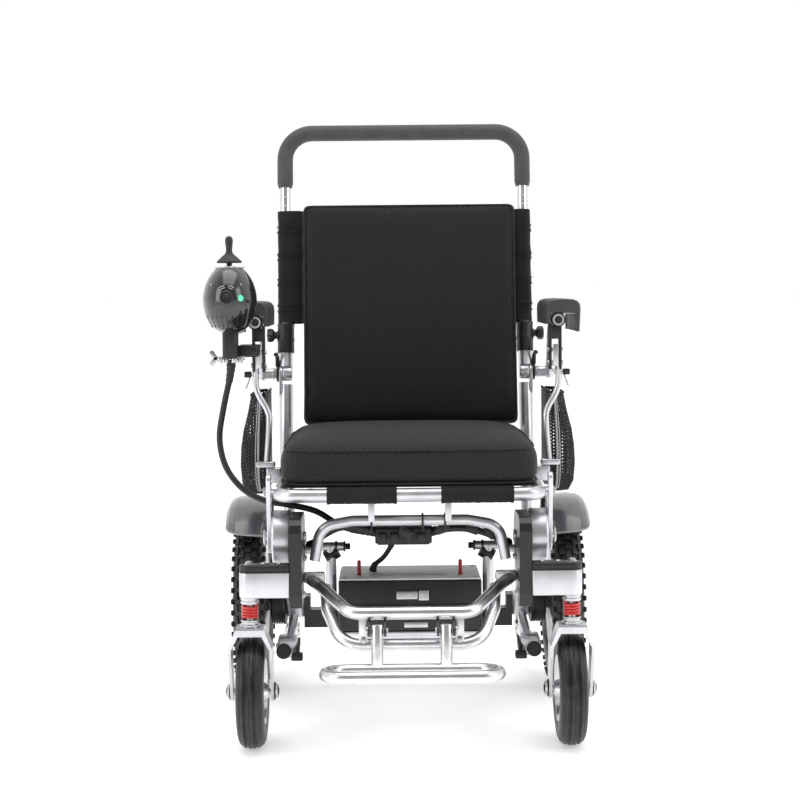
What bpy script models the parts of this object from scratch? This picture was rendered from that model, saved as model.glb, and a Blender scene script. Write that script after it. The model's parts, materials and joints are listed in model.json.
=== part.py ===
"""Folding power wheelchair: frame, folding rear section, casters, arms, backrest and joystick.

Metres, +Z up. The chair faces -Y and +X is the rider's left. The origin is on the floor, under the
middle of the chair. Every sub-part is one closed solid with its own name, and each piece that moves
has its origin on the axis that it moves about.
"""

import math

import bmesh
import bpy
from mathutils import Matrix, Vector

# Sides of the chair: the name used in the parts' names, and the sign of X.
SIDES = {"left": 1, "right": -1}

CLEARANCE = 0.0003  # left between pieces that touch

# Rear wheels and the section that folds with them.
REAR_AXLE_Y = 0.180
REAR_TYRE_RADIUS = 0.159
REAR_TYRE_X = 0.278
REAR_TYRE_HALF_WIDTH = 0.028
REAR_RIM_RADIUS = 0.103
GUARD_RADIUS = 0.187
GUARD_INNER_X = 0.246
GUARD_OUTER_X = 0.320
GUARD_FRONT_ANGLE = 44
GUARD_REAR_ANGLE = 70
LEG_INNER_X = 0.1875
LEG_OUTER_X = 0.2170
MOTOR_RADIUS = 0.046
ANTI_TIP_X = 0.221
ANTI_TIP_Z = 0.060
TAIL_FRONT_Z = 0.079
ANTI_TIP_WHEEL_Y = 0.430
ANTI_TIP_WHEEL_RADIUS = 0.030

# The hinge that the rear section folds about.
FOLD_Y = -0.215
FOLD_Z = 0.325
FOLD_NOSE_RADIUS = 0.043
FOLD_PIN_RADIUS = 0.005

# Casters.
STEM_X = 0.249
STEM_Y = -0.290
TRAIL = 0.032
CASTER_RADIUS = 0.089
CASTER_HALF_WIDTH = 0.022
CASTER_RIM_RADIUS = 0.052
HOUSING_BOTTOM = 0.229
HOUSING_TOP = 0.294
HOUSING_RADIUS = 0.016
CROWN_TOP = 0.197
SPRING_BOTTOM = 0.2015
SPRING_TOP = 0.2217
SPRING_RADIUS = 0.013

# Front legs and seat.
PLATE_INNER_X = 0.168
PLATE_OUTER_X = 0.187
PLATE_FRONT_Y = -0.300
PLATE_BOTTOM = 0.222
PLATE_TOP = 0.364
RAIL_X = 0.205
RAIL_Z = 0.396
RAIL_RADIUS = 0.011
SEAT_FRONT_Y = -0.262
CUSHION_HALF_WIDTH = 0.210
CUSHION_BACK_Y = 0.135
CUSHION_BOTTOM = 0.410
CUSHION_TOP = 0.478

# Backrest: the hinge it folds about, and its lean.
BACK_Y = 0.205
BACK_Z = 0.564
BACK_LEAN = math.radians(9)
BACK_TUBE_X = 0.216
BACK_TUBE_RADIUS = 0.0125
BACK_TUBE_TOP = 0.0765
BACK_BORE_LOW = 0.0220
PUSH_TUBE_RADIUS = 0.0098
CLAMP_LOW = 0.036
CLAMP_HIGH = 0.090
KNOB_HEIGHT = 0.070
GRIP_LOW = 0.340
PUSH_BAR_HEIGHT = 0.441
GRIP_RADIUS = 0.0145

# Arms.
ARM_X = 0.252
ARM_RAIL_Z = 0.662
ARM_RAIL_RADIUS = 0.011
ARM_FRONT_Y = -0.050
ARM_REAR_Y = 0.150
ARM_PAD_TOP = 0.695

# Joystick.
JOYSTICK_X = -0.287
JOYSTICK_Y = -0.125
JOYSTICK_Z = 0.7025
STICK_PIVOT_Z = 0.7537
BUTTON_Z = 0.7056

# Battery and its cradle.
BATTERY_LOW = (-0.115, -0.190, 0.168)
BATTERY_HIGH = (0.115, -0.053, 0.254)
CRADLE_X = 0.128
CRADLE_Y = -0.120

# Footrest.
FOOT_HINGE_Y = -0.364
FOOT_HINGE_Z = 0.203
FOOT_HANGER_X = 0.052

# Finishes: colour, roughness and metallic value.
FINISHES = {
    "satin_silver": ((0.72, 0.73, 0.75), 0.28, 1.0),
    "satin_black": ((0.012, 0.012, 0.014), 0.35, 0.0),
    "black_plastic": ((0.018, 0.018, 0.020), 0.45, 0.0),
    "grey_plastic": ((0.13, 0.135, 0.14), 0.30, 0.0),
    "rubber": ((0.020, 0.020, 0.021), 0.60, 0.0),
    "fabric": ((0.016, 0.016, 0.022), 0.85, 0.0),
    "foam_grip": ((0.045, 0.046, 0.048), 0.75, 0.0),
    "red_steel": ((0.55, 0.015, 0.015), 0.35, 0.2),
    "cable_black": ((0.012, 0.012, 0.012), 0.50, 0.0),
}

RING_STEPS = 24  # flats round a wheel
SMALL_STEPS = 10  # flats round a small turned piece


def clear_scene():
    """Removes whatever the file opens with."""
    for old in list(bpy.data.objects):
        bpy.data.objects.remove(old, do_unlink=True)


def new_collection(name):
    collection = bpy.data.collections.new(name)
    bpy.context.scene.collection.children.link(collection)
    return collection


def finish(name):
    """The material of that name, made the first time that it is asked for."""
    material = bpy.data.materials.get(name)
    if material is None:
        colour, roughness, metallic = FINISHES[name]
        material = bpy.data.materials.new(name)
        material.use_nodes = True
        shader = material.node_tree.nodes["Principled BSDF"]
        shader.inputs["Base Color"].default_value = (*colour, 1)
        shader.inputs["Roughness"].default_value = roughness
        shader.inputs["Metallic"].default_value = metallic
    return material


def object_from(bm, name):
    """A mesh object in the tools' collection, made from a bmesh."""
    mesh = bpy.data.meshes.new(name)
    bmesh.ops.recalc_face_normals(bm, faces=bm.faces)
    bm.to_mesh(mesh)
    bm.free()
    made = bpy.data.objects.new(name, mesh)
    TOOLS.objects.link(made)
    return made


def box(low, high, rounding=0.0):
    """A box between two corners, with its edges rounded if asked."""
    low, high = Vector(low), Vector(high)
    bm = bmesh.new()
    bmesh.ops.create_cube(bm, size=1)
    bmesh.ops.transform(bm, matrix=Matrix.Diagonal((*(high - low), 1)), verts=bm.verts)
    bmesh.ops.translate(bm, vec=(low + high) / 2, verts=bm.verts)
    made = object_from(bm, "box")
    if rounding:
        bevel = made.modifiers.new("Rounding", "BEVEL")
        bevel.width = rounding
        bevel.segments = 2
    return made


def side_box(sign, inner, outer, low, high, rounding=0.0):
    """A box on one side of the chair: inner and outer are its distances from the middle."""
    near, far = sorted((sign * inner, sign * outer))
    return box((near, *low), (far, *high), rounding)


def rod(start, end, radius, sides=SMALL_STEPS):
    """A straight round bar, or a cone, between two points."""
    start, end = Vector(start), Vector(end)
    along = end - start
    bm = bmesh.new()
    bmesh.ops.create_cone(
        bm,
        cap_ends=True,
        segments=sides,
        radius1=radius,
        radius2=radius,
        depth=along.length,
    )
    turn = along.to_track_quat("Z", "Y").to_matrix().to_4x4()
    place = Matrix.Translation((start + end) / 2) @ turn
    bmesh.ops.transform(bm, matrix=place, verts=bm.verts)
    return object_from(bm, "rod")


def side_rod(sign, inner, outer, y, z, radius, sides=SMALL_STEPS):
    """A round bar along X on one side of the chair."""
    return rod((sign * inner, y, z), (sign * outer, y, z), radius, sides)


def rounded(points, radius, closed=False, steps=4):
    """The points of a path with each corner turned into a curve of about that radius."""
    points = [Vector(p) for p in points]
    count = len(points)
    path = []
    for i, corner in enumerate(points):
        if not closed and i in (0, count - 1):
            path.append(corner)
            continue
        before, after = points[i - 1], points[(i + 1) % count]
        back, ahead = before - corner, after - corner
        reach_back = min(radius, back.length * 0.48)
        reach_ahead = min(radius, ahead.length * 0.48)
        start = corner + back.normalized() * reach_back
        end = corner + ahead.normalized() * reach_ahead
        for k in range(steps + 1):
            t = k / steps
            path.append(start * (1 - t) ** 2 + corner * 2 * t * (1 - t) + end * t * t)
    return path


def as_mesh(source, weld=0.00001):
    """The plain mesh of a curve, or of an object with modifiers, in place of it."""
    bpy.context.view_layer.update()
    depsgraph = bpy.context.evaluated_depsgraph_get()
    mesh = bpy.data.meshes.new_from_object(source.evaluated_get(depsgraph))
    bm = bmesh.new()
    bm.from_mesh(mesh)
    bpy.data.meshes.remove(mesh)
    bmesh.ops.remove_doubles(bm, verts=bm.verts, dist=weld)
    bmesh.ops.transform(bm, matrix=source.matrix_world, verts=bm.verts)
    bpy.data.objects.remove(source, do_unlink=True)
    return object_from(bm, "plain")


def tube(points, radius, closed=False, resolution=2):
    """A round tube along a path."""
    curve = bpy.data.curves.new("tube", "CURVE")
    curve.dimensions = "3D"
    curve.bevel_depth = radius
    curve.bevel_resolution = resolution
    curve.use_fill_caps = not closed
    spline = curve.splines.new("POLY")
    spline.points.add(len(points) - 1)
    for point, place in zip(spline.points, points):
        point.co = (*place, 1)
    spline.use_cyclic_u = closed
    made = bpy.data.objects.new("tube", curve)
    TOOLS.objects.link(made)
    return as_mesh(made)


def flat(outline, thickness, matrix):
    """A flat piece cut to an outline, given in the outline's own plane."""
    curve = bpy.data.curves.new("flat", "CURVE")
    curve.dimensions = "2D"
    curve.fill_mode = "BOTH"
    curve.extrude = thickness / 2
    spline = curve.splines.new("POLY")
    spline.points.add(len(outline) - 1)
    for point, place in zip(spline.points, outline):
        point.co = (place[0], place[1], 0, 1)
    spline.use_cyclic_u = True
    made = bpy.data.objects.new("flat", curve)
    TOOLS.objects.link(made)
    made.matrix_world = matrix
    return as_mesh(made)


def side_plate_shape(outline, inner, outer, sign):
    """A plate seen from the side: its outline is in Y and Z and its thickness along X."""
    turn = Matrix(((0, 0, 1), (1, 0, 0), (0, 1, 0))).to_4x4()
    place = Matrix.Translation((sign * (inner + outer) / 2, 0, 0))
    return flat(outline, outer - inner, place @ turn)


def front_plate_shape(outline, near, far):
    """A plate seen from the front: its outline is in X and Z and its depth along Y."""
    turn = Matrix.Rotation(math.pi / 2, 4, "X")
    place = Matrix.Translation((0, (near + far) / 2, 0))
    return flat(outline, far - near, place @ turn)


def turned(profile, place, steps=RING_STEPS, closed=False, sweep=360.0, start=0.0):
    """A turned piece: radius and height pairs, outer side first from the top down, spun about local Z.

    A closed profile is a ring, and an open one starts and ends on the axis.
    """
    mesh = bpy.data.meshes.new("turned")
    count = len(profile)
    edges = [(i, (i + 1) % count) for i in range(count if closed else count - 1)]
    mesh.from_pydata([(r, 0, h) for r, h in profile], edges, [])
    made = bpy.data.objects.new("turned", mesh)
    TOOLS.objects.link(made)
    made.matrix_world = place @ Matrix.Rotation(math.radians(start), 4, "Z")
    screw = made.modifiers.new("Turn", "SCREW")
    screw.angle = math.radians(sweep)
    screw.steps = screw.render_steps = steps
    screw.use_merge_vertices = sweep == 360.0
    screw.merge_threshold = 0.00001
    return made


def along_x(x, y, z, sign=1):
    """The place of a turned piece whose axis is along X, pointing outwards on that side."""
    return Matrix.Translation((x, y, z)) @ Matrix.Rotation(sign * math.pi / 2, 4, "Y")


def upright(x, y, z=0.0):
    return Matrix.Translation((x, y, z))


def leaned(x, across, up):
    """A point of the backrest: across is from its tubes' line to the back, up is along them."""
    y = BACK_Y + across * math.cos(BACK_LEAN) + up * math.sin(BACK_LEAN)
    z = BACK_Z - across * math.sin(BACK_LEAN) + up * math.cos(BACK_LEAN)
    return Vector((x, y, z))


def lean_matrix(x=0.0):
    """Places a piece that is modelled upright, with the backrest's hinge as its origin."""
    return Matrix.Translation((x, BACK_Y, BACK_Z)) @ Matrix.Rotation(-BACK_LEAN, 4, "X")


def lean_box(low, high, rounding=0.0):
    """A box along the backrest, measured from its hinge."""
    made = box(low, high, rounding)
    made.matrix_world = lean_matrix()
    return made


def hide_tool(tool):
    tool.hide_render = True
    tool.display_type = "WIRE"


def combine(base, others, operation="UNION"):
    """Joins or cuts the base with the others, by exact Booleans that stay on it."""
    for other in others:
        hide_tool(other)
        step = base.modifiers.new(operation.title(), "BOOLEAN")
        step.operation = operation
        step.solver = "EXACT"
        step.object = other
    return base


def part(name, made, material, origin=None):
    """Makes a shape a part of the chair, with its origin at the point that it moves about."""
    TOOLS.objects.unlink(made)
    PARTS.objects.link(made)
    made.name = name
    made.data.name = name
    made.data.materials.clear()
    made.data.materials.append(finish(material))
    made.data.shade_smooth()
    made.data.set_sharp_from_angle(angle=math.radians(35))
    if origin is not None:
        turn = made.matrix_world.to_quaternion().to_matrix().to_4x4()
        target = Matrix.Translation(origin) @ turn
        made.data.transform(target.inverted() @ made.matrix_world)
        made.matrix_world = target
    return made


def limb_outline(stations, cap_steps=7):
    """The outline of a limb through stations of Y, Z and half width, with round ends."""
    centres = [Vector(s[:2]) for s in stations]
    widths = [s[2] for s in stations]
    ways = []
    for i in range(len(centres)):
        before, after = centres[max(i - 1, 0)], centres[min(i + 1, len(centres) - 1)]
        ways.append((after - before).normalized())

    def offset(i, angle):
        way = ways[i]
        turn = Matrix.Rotation(angle, 2)
        return centres[i] + turn @ way * widths[i]

    upper = [offset(i, math.pi / 2) for i in range(1, len(centres) - 1)]
    lower = [offset(i, -math.pi / 2) for i in range(len(centres) - 2, 0, -1)]
    half_turn = [math.pi * (k / cap_steps - 0.5) for k in range(cap_steps + 1)]
    nose = [offset(0, math.pi - a) for a in half_turn]
    tail = [offset(len(centres) - 1, -a) for a in half_turn]
    return nose + upper + tail + lower


# ---------------------------------------------------------------- front legs and casters


def fold_bore(sign):
    """The hole that the fold pin runs in."""
    return side_rod(sign, PLATE_INNER_X - 0.01, LEG_OUTER_X + 0.02, FOLD_Y, FOLD_Z,
                    FOLD_PIN_RADIUS + 0.0006)


def make_side_plate(side, sign):
    """The black plate that carries the caster housing and the fold hinge."""
    outline = rounded(
        [
            (PLATE_FRONT_Y, PLATE_BOTTOM),
            (PLATE_FRONT_Y, PLATE_TOP),
            (-0.180, PLATE_TOP),
            (-0.158, 0.325),
            (-0.180, 0.285),
            (-0.252, PLATE_BOTTOM),
        ],
        0.022,
        closed=True,
        steps=3,
    )
    plate = side_plate_shape(outline, PLATE_INNER_X, PLATE_OUTER_X, sign)
    part(f"side_plate_{side}", combine(plate, [fold_bore(sign)], "DIFFERENCE"), "satin_black")


def make_fold_pin(side, sign):
    """The hinge pin through the side plate, the rear leg and the seat's flat bar."""
    head = FOLD_PIN_RADIUS + 0.004
    profile = [
        (0, 0.2290),
        (head, 0.2290),
        (head, 0.2255),
        (FOLD_PIN_RADIUS, 0.2255),
        (FOLD_PIN_RADIUS, 0.1675),
        (head, 0.1675),
        (head, 0.1640),
        (0, 0.1640),
    ]
    place = along_x(0, FOLD_Y, FOLD_Z, sign)
    part(f"fold_pin_{side}", turned(profile, place, SMALL_STEPS), "satin_silver",
         (0, FOLD_Y, FOLD_Z))


def make_caster_housing(side, sign):
    """The round-ended housing that the caster's stem slides in, with its lower spring seat."""
    end = [
        (sign * (STEM_X + HOUSING_RADIUS * math.sin(a)), STEM_Y - HOUSING_RADIUS * math.cos(a))
        for a in (math.pi * k / 8 for k in range(9))
    ]
    inner = sign * (PLATE_OUTER_X + CLEARANCE)
    outline = [(inner, STEM_Y - HOUSING_RADIUS), *end, (inner, STEM_Y + HOUSING_RADIUS)]
    height = HOUSING_TOP - HOUSING_BOTTOM
    body = flat(outline, height, upright(0, 0, (HOUSING_TOP + HOUSING_BOTTOM) / 2))
    x = sign * STEM_X
    seat = rod((x, STEM_Y, SPRING_TOP + CLEARANCE), (x, STEM_Y, HOUSING_BOTTOM + 0.001), 0.014)
    bore = rod((x, STEM_Y, 0.215), (x, STEM_Y, HOUSING_TOP - 0.003), 0.0075)
    combine(body, [seat])
    part(f"caster_housing_{side}", combine(body, [bore], "DIFFERENCE"), "satin_silver")


def make_caster_stem(side, sign):
    """The stem that slides in the housing, with the flange under its spring."""
    profile = [
        (0, 0.2830),
        (0.006, 0.2830),
        (0.006, SPRING_BOTTOM - CLEARANCE),
        (0.014, SPRING_BOTTOM - CLEARANCE),
        (0.014, CROWN_TOP + 0.0005),
        (0.006, CROWN_TOP + 0.0005),
        (0.006, 0.1900),
        (0, 0.1900),
    ]
    part(f"caster_stem_{side}", turned(profile, upright(sign * STEM_X, STEM_Y), SMALL_STEPS),
         "satin_silver")


def make_caster_spring(side, sign):
    """The envelope of the red coil spring round the stem."""
    inner = 0.0075
    profile = [
        (inner, SPRING_TOP),
        (SPRING_RADIUS, SPRING_TOP),
        (SPRING_RADIUS, SPRING_BOTTOM),
        (inner, SPRING_BOTTOM),
    ]
    ring = turned(profile, upright(sign * STEM_X, STEM_Y), SMALL_STEPS, closed=True)
    part(f"caster_spring_{side}", ring, "red_steel")


def make_caster_fork(side, sign):
    """The fork: a bent strap seen from the front, cut to a tapering outline from the side."""
    x = sign * STEM_X
    axle_y = STEM_Y + TRAIL
    right_half = [(0.0215, CROWN_TOP), (0.034, 0.163), (0.034, 0.060), (0.0295, 0.060),
                  (0.0295, 0.161), (0.0185, 0.184)]
    left_half = [(-u, w) for u, w in reversed(right_half)]
    strap = front_plate_shape([(x + u, w) for u, w in right_half + left_half], -0.34, -0.20)
    outline = limb_outline(
        [(STEM_Y, 0.190, 0.021), (STEM_Y + 0.010, 0.150, 0.020), (axle_y, CASTER_RADIUS, 0.0155)]
    )
    side_view = side_plate_shape(outline, STEM_X - 0.05, STEM_X + 0.05, sign)
    combine(strap, [side_view], "INTERSECT")
    axle = rod((x - 0.040, axle_y, CASTER_RADIUS), (x + 0.040, axle_y, CASTER_RADIUS), 0.004, 8)
    nuts = [
        rod((x + d * 0.0335, axle_y, CASTER_RADIUS), (x + d * 0.0395, axle_y, CASTER_RADIUS), 0.011)
        for d in (-1, 1)
    ]
    combine(strap, [axle, *nuts])
    bore = rod((x, STEM_Y, 0.1893), (x, STEM_Y, CROWN_TOP + 0.01), 0.0066)
    part(f"caster_fork_{side}", combine(strap, [bore], "DIFFERENCE"), "satin_silver",
         (x, STEM_Y, CROWN_TOP))


def tyre_section(inner, outer, half_width, count):
    """A closed tyre section: count points round an oval that fills those limits."""
    angles = [math.tau * (k + 0.5) / count for k in range(count)]
    reach = math.cos(angles[0])
    width = max(math.sin(a) for a in angles)
    middle, half_height = (outer + inner) / 2, (outer - inner) / 2
    return [
        (middle - half_height * math.cos(a) / reach, half_width * math.sin(a) / width)
        for a in angles
    ]


def mirrored_ring(upper):
    """A closed ring profile from its upper half, given from the bore outwards."""
    return upper + [(r, -h) for r, h in reversed(upper)]


def make_caster_wheel(side, sign):
    """The caster's tyre and its one-piece rim."""
    place = along_x(sign * STEM_X, STEM_Y + TRAIL, CASTER_RADIUS, sign)
    section = tyre_section(CASTER_RIM_RADIUS, CASTER_RADIUS, CASTER_HALF_WIDTH, 8)
    part(f"caster_tyre_{side}", turned(section, place, closed=True), "rubber")
    edge = CASTER_RIM_RADIUS - 0.0006
    rim = mirrored_ring(
        [(0.0047, 0.026), (0.012, 0.026), (0.014, 0.007), (edge - 0.009, 0.006), (edge, 0.015)]
    )
    part(f"caster_rim_{side}", turned(rim, place, closed=True), "satin_silver")


# ---------------------------------------------------------------- rear section


def make_rear_leg(side, sign):
    """The curved leg from the fold hinge to the rear axle, with the anti-tip tube under it."""
    axle = (REAR_AXLE_Y, REAR_TYRE_RADIUS)
    outline = limb_outline(
        [
            (FOLD_Y, FOLD_Z, FOLD_NOSE_RADIUS),
            (-0.150, 0.318, 0.034),
            (-0.050, 0.288, 0.027),
            (0.070, 0.228, 0.026),
            (*axle, 0.034),
        ]
    )
    leg = side_plate_shape(outline, LEG_INNER_X, LEG_OUTER_X, sign)
    inner_x, x = sign * 0.2025, sign * ANTI_TIP_X
    front_strut = rod((inner_x, 0.168, 0.142), (sign * 0.212, 0.128, 0.092), 0.007)
    rear_strut = rod((inner_x, 0.192, 0.142), (sign * 0.217, 0.262, 0.062), 0.007)
    socket = side_box(sign, 0.198, 0.232, (0.100, 0.0665), (0.150, 0.101))
    end_y = ANTI_TIP_WHEEL_Y - ANTI_TIP_WHEEL_RADIUS - 0.004
    tail = rod((x, 0.098, TAIL_FRONT_Z), (x, end_y, ANTI_TIP_Z), 0.0125)
    lugs = [
        side_box(sign, low, low + 0.0035, (0.382, ANTI_TIP_Z - 0.0095), (0.440, ANTI_TIP_Z + 0.0095))
        for low in (0.2067, 0.2318)
    ]
    pin = side_rod(sign, 0.2080, 0.2340, ANTI_TIP_WHEEL_Y, ANTI_TIP_Z, 0.003, 8)
    combine(leg, [front_strut, socket, tail, rear_strut, *lugs, pin])
    part(f"rear_leg_{side}", combine(leg, [fold_bore(sign)], "DIFFERENCE"), "satin_silver",
         (0, FOLD_Y, FOLD_Z))


def make_anti_tip_wheel(side, sign):
    ring = mirrored_ring([(0.0036, 0.0085), (0.026, 0.0085), (ANTI_TIP_WHEEL_RADIUS, 0.005)])
    place = along_x(sign * ANTI_TIP_X, ANTI_TIP_WHEEL_Y, ANTI_TIP_Z, sign)
    part(f"anti_tip_wheel_{side}", turned(ring, place, 16, closed=True), "rubber")


def make_rear_cross_beam():
    """The black beam that joins the two rear legs, with a flange at each end."""
    reach = LEG_INNER_X - CLEARANCE
    beam = box((-reach, 0.168, 0.108), (reach, 0.200, 0.140))
    flanges = [
        side_box(sign, 0.176, reach, (0.164, 0.128), (0.204, 0.165)) for sign in SIDES.values()
    ]
    part("rear_cross_beam", combine(beam, flanges), "satin_black", (0, FOLD_Y, FOLD_Z))


def make_motor(side, sign):
    """The hub motor's fixed side: brake cover, axle and the axle's outer nut."""
    start = LEG_OUTER_X + 0.0008
    profile = [
        (0, 0.3165),
        (0.011, 0.3165),
        (0.011, 0.3090),
        (0.006, 0.3090),
        (0.006, 0.2465),
        (MOTOR_RADIUS, 0.2465),
        (MOTOR_RADIUS, start),
        (0, start),
    ]
    place = along_x(0, REAR_AXLE_Y, REAR_TYRE_RADIUS, sign)
    part(f"motor_{side}", turned(profile, place, 16), "satin_black",
         (0, REAR_AXLE_Y, REAR_TYRE_RADIUS))


def make_rear_wheel(side, sign):
    """The rear tyre, and the rim with the hub motor's shell."""
    place = along_x(sign * REAR_TYRE_X, REAR_AXLE_Y, REAR_TYRE_RADIUS, sign)
    section = tyre_section(REAR_RIM_RADIUS, REAR_TYRE_RADIUS, REAR_TYRE_HALF_WIDTH, 10)
    part(f"rear_tyre_{side}", turned(section, place, closed=True), "rubber")
    edge = REAR_RIM_RADIUS - 0.0006
    rim = mirrored_ring(
        [(0.0068, 0.0300), (0.066, 0.024), (0.070, 0.008), (edge - 0.008, 0.008), (edge, 0.018)]
    )
    part(f"rear_rim_{side}", turned(rim, place, closed=True), "satin_silver")


def make_mudguard(side, sign):
    """The arched guard over the rear tyre, and the stay that holds it."""
    crown = (GUARD_INNER_X + GUARD_OUTER_X) / 2
    profile = [
        (GUARD_RADIUS - 0.004, GUARD_INNER_X),
        (GUARD_RADIUS, crown),
        (GUARD_RADIUS - 0.003, GUARD_OUTER_X - 0.008),
        (GUARD_RADIUS - 0.012, GUARD_OUTER_X - 0.0015),
    ]
    first = 180 - GUARD_REAR_ANGLE if sign > 0 else -GUARD_FRONT_ANGLE
    shell = turned(
        profile,
        along_x(0, REAR_AXLE_Y, REAR_TYRE_RADIUS, sign),
        12,
        sweep=GUARD_FRONT_ANGLE + GUARD_REAR_ANGLE,
        start=first,
    )
    wall = shell.modifiers.new("Wall", "SOLIDIFY")
    wall.thickness = 0.003
    wall.offset = 0
    stay_low = REAR_TYRE_RADIUS + MOTOR_RADIUS + 0.0008
    stay = side_box(sign, 0.2400, GUARD_INNER_X + 0.0015, (0.172, stay_low),
                    (0.188, REAR_TYRE_RADIUS + GUARD_RADIUS - 0.003))
    part(f"mudguard_{side}", combine(as_mesh(shell), [stay]), "grey_plastic", (0, FOLD_Y, FOLD_Z))


def make_freewheel_lever(side, sign):
    """The foot lever that frees the motor, hinged beside the anti-tip socket."""
    outline = limb_outline([(0.084, 0.075, 0.006), (0.128, 0.090, 0.008)], 4)
    arm = side_plate_shape(outline, 0.1925, 0.1970, sign)
    pad = side_box(sign, 0.186, 0.206, (0.063, 0.068), (0.0875, 0.080), 0.002)
    part(f"freewheel_lever_{side}", combine(arm, [pad]), "black_plastic", (0, 0.128, 0.090))


# ---------------------------------------------------------------- seat


def make_seat_frame():
    """The seat's tube frame, the uprights to the backrest's hinge, and the flat bars to the fold."""
    corners = [
        (RAIL_X, 0.180, RAIL_Z),
        (RAIL_X, SEAT_FRONT_Y, RAIL_Z),
        (-RAIL_X, SEAT_FRONT_Y, RAIL_Z),
        (-RAIL_X, 0.180, RAIL_Z),
    ]
    frame = tube(rounded(corners, 0.030, steps=3), RAIL_RADIUS)
    pieces = [rod((-RAIL_X, 0.120, RAIL_Z), (RAIL_X, 0.120, RAIL_Z), 0.009, 8)]
    low_cross = [
        (-0.150, -0.245, 0.292),
        (-0.140, -0.245, 0.345),
        (-0.090, -0.245, 0.354),
        (0.090, -0.245, 0.354),
        (0.140, -0.245, 0.345),
        (0.150, -0.245, 0.292),
    ]
    pieces.append(tube(rounded(low_cross, 0.028, steps=3), 0.0085))
    for sign in SIDES.values():
        foot = leaned(sign * BACK_TUBE_X, 0, -0.172)
        head = leaned(sign * BACK_TUBE_X, 0, -0.020)
        pieces.append(rod(foot, head, BACK_TUBE_RADIUS))
        lug = limb_outline([(*leaned(0, 0, -0.040)[1:], 0.011), (BACK_Y, BACK_Z, 0.013)], 5)
        pieces.append(side_plate_shape(lug, 0.2225, 0.2283, sign))
        bar = limb_outline([(FOLD_Y, 0.312, 0.012), (-0.236, 0.418, 0.009)], 5)
        pieces.append(side_plate_shape(bar, 0.2176, 0.2250, sign))
        pieces.append(side_rod(sign, RAIL_X, 0.2240, -0.235, 0.402, 0.006, 8))
        pieces.append(rod((sign * RAIL_X, 0.060, 0.390), (sign * RAIL_X, 0.046, 0.2760), 0.009))
        pieces.append(side_box(sign, 0.055, 0.065, (-0.262, 0.350), (-0.242, 0.392)))
        pieces.append(side_box(sign, 0.2120, 0.2365, (ARM_FRONT_Y - 0.009, 0.394),
                               (ARM_FRONT_Y + 0.009, 0.4195)))
        pieces.append(side_box(sign, 0.146, 0.197, (-0.256, 0.3925), (-0.230, 0.4045)))
    combine(frame, pieces)
    bores = [fold_bore(sign) for sign in SIDES.values()]
    part("seat_frame", combine(frame, bores, "DIFFERENCE"), "satin_silver")


def make_seat_sling():
    """The fabric stretched between the seat's rails."""
    top = RAIL_Z + RAIL_RADIUS
    sling = box((-0.196, SEAT_FRONT_Y + 0.006, top + 0.0004), (0.196, 0.150, CUSHION_BOTTOM - 0.0006))
    part("seat_sling", sling, "fabric")


def make_seat_cushion():
    cushion = box(
        (-CUSHION_HALF_WIDTH, -0.270, CUSHION_BOTTOM),
        (CUSHION_HALF_WIDTH, CUSHION_BACK_Y, CUSHION_TOP),
        0.016,
    )
    part("seat_cushion", cushion, "fabric")


# ---------------------------------------------------------------- battery, cradle and controller


def make_battery_cradle():
    """The hoop round the battery, its tray, and the lock plungers that reach the side plates."""
    hoop = tube(
        rounded(
            [
                (-CRADLE_X, CRADLE_Y, 0.296),
                (-CRADLE_X, CRADLE_Y, 0.134),
                (CRADLE_X, CRADLE_Y, 0.134),
                (CRADLE_X, CRADLE_Y, 0.296),
            ],
            0.046,
        ),
        0.0085,
    )
    pieces = [
        box((-0.112, -0.187, 0.1600), (0.112, -0.056, 0.1670)),
        box((-0.080, CRADLE_Y - 0.012, 0.1340), (0.080, CRADLE_Y + 0.012, 0.1630)),
    ]
    for sign in SIDES.values():
        reach = PLATE_INNER_X - CLEARANCE
        pieces.append(rod((sign * 0.104, CRADLE_Y, 0.296), (sign * 0.150, CRADLE_Y, 0.296), 0.0072))
        link = [
            (sign * 0.140, CRADLE_Y, 0.296),
            (sign * 0.152, CRADLE_Y, 0.296),
            (sign * 0.152, -0.190, 0.300),
            (sign * reach, -0.190, 0.300),
        ]
        pieces.append(tube(rounded(link, 0.010, steps=2), 0.0065))
    part("battery_cradle", combine(hoop, pieces), "satin_silver")


def make_battery():
    """The battery case with its two red retaining pins."""
    case = box(BATTERY_LOW, BATTERY_HIGH, 0.005)
    pins = [
        rod((sign * 0.082, -0.150, 0.250), (sign * 0.082, -0.150, 0.277), 0.003, 8)
        for sign in SIDES.values()
    ]
    latch = box((-0.022, -0.1940, 0.218), (0.031, -0.187, 0.234))
    part("battery", combine(case, [*pins, latch]), "black_plastic")


def make_controller_box():
    part("controller_box", box((-0.055, -0.222, 0.312), (0.035, -0.130, 0.340), 0.003),
         "black_plastic")


# ---------------------------------------------------------------- footrest


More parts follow.
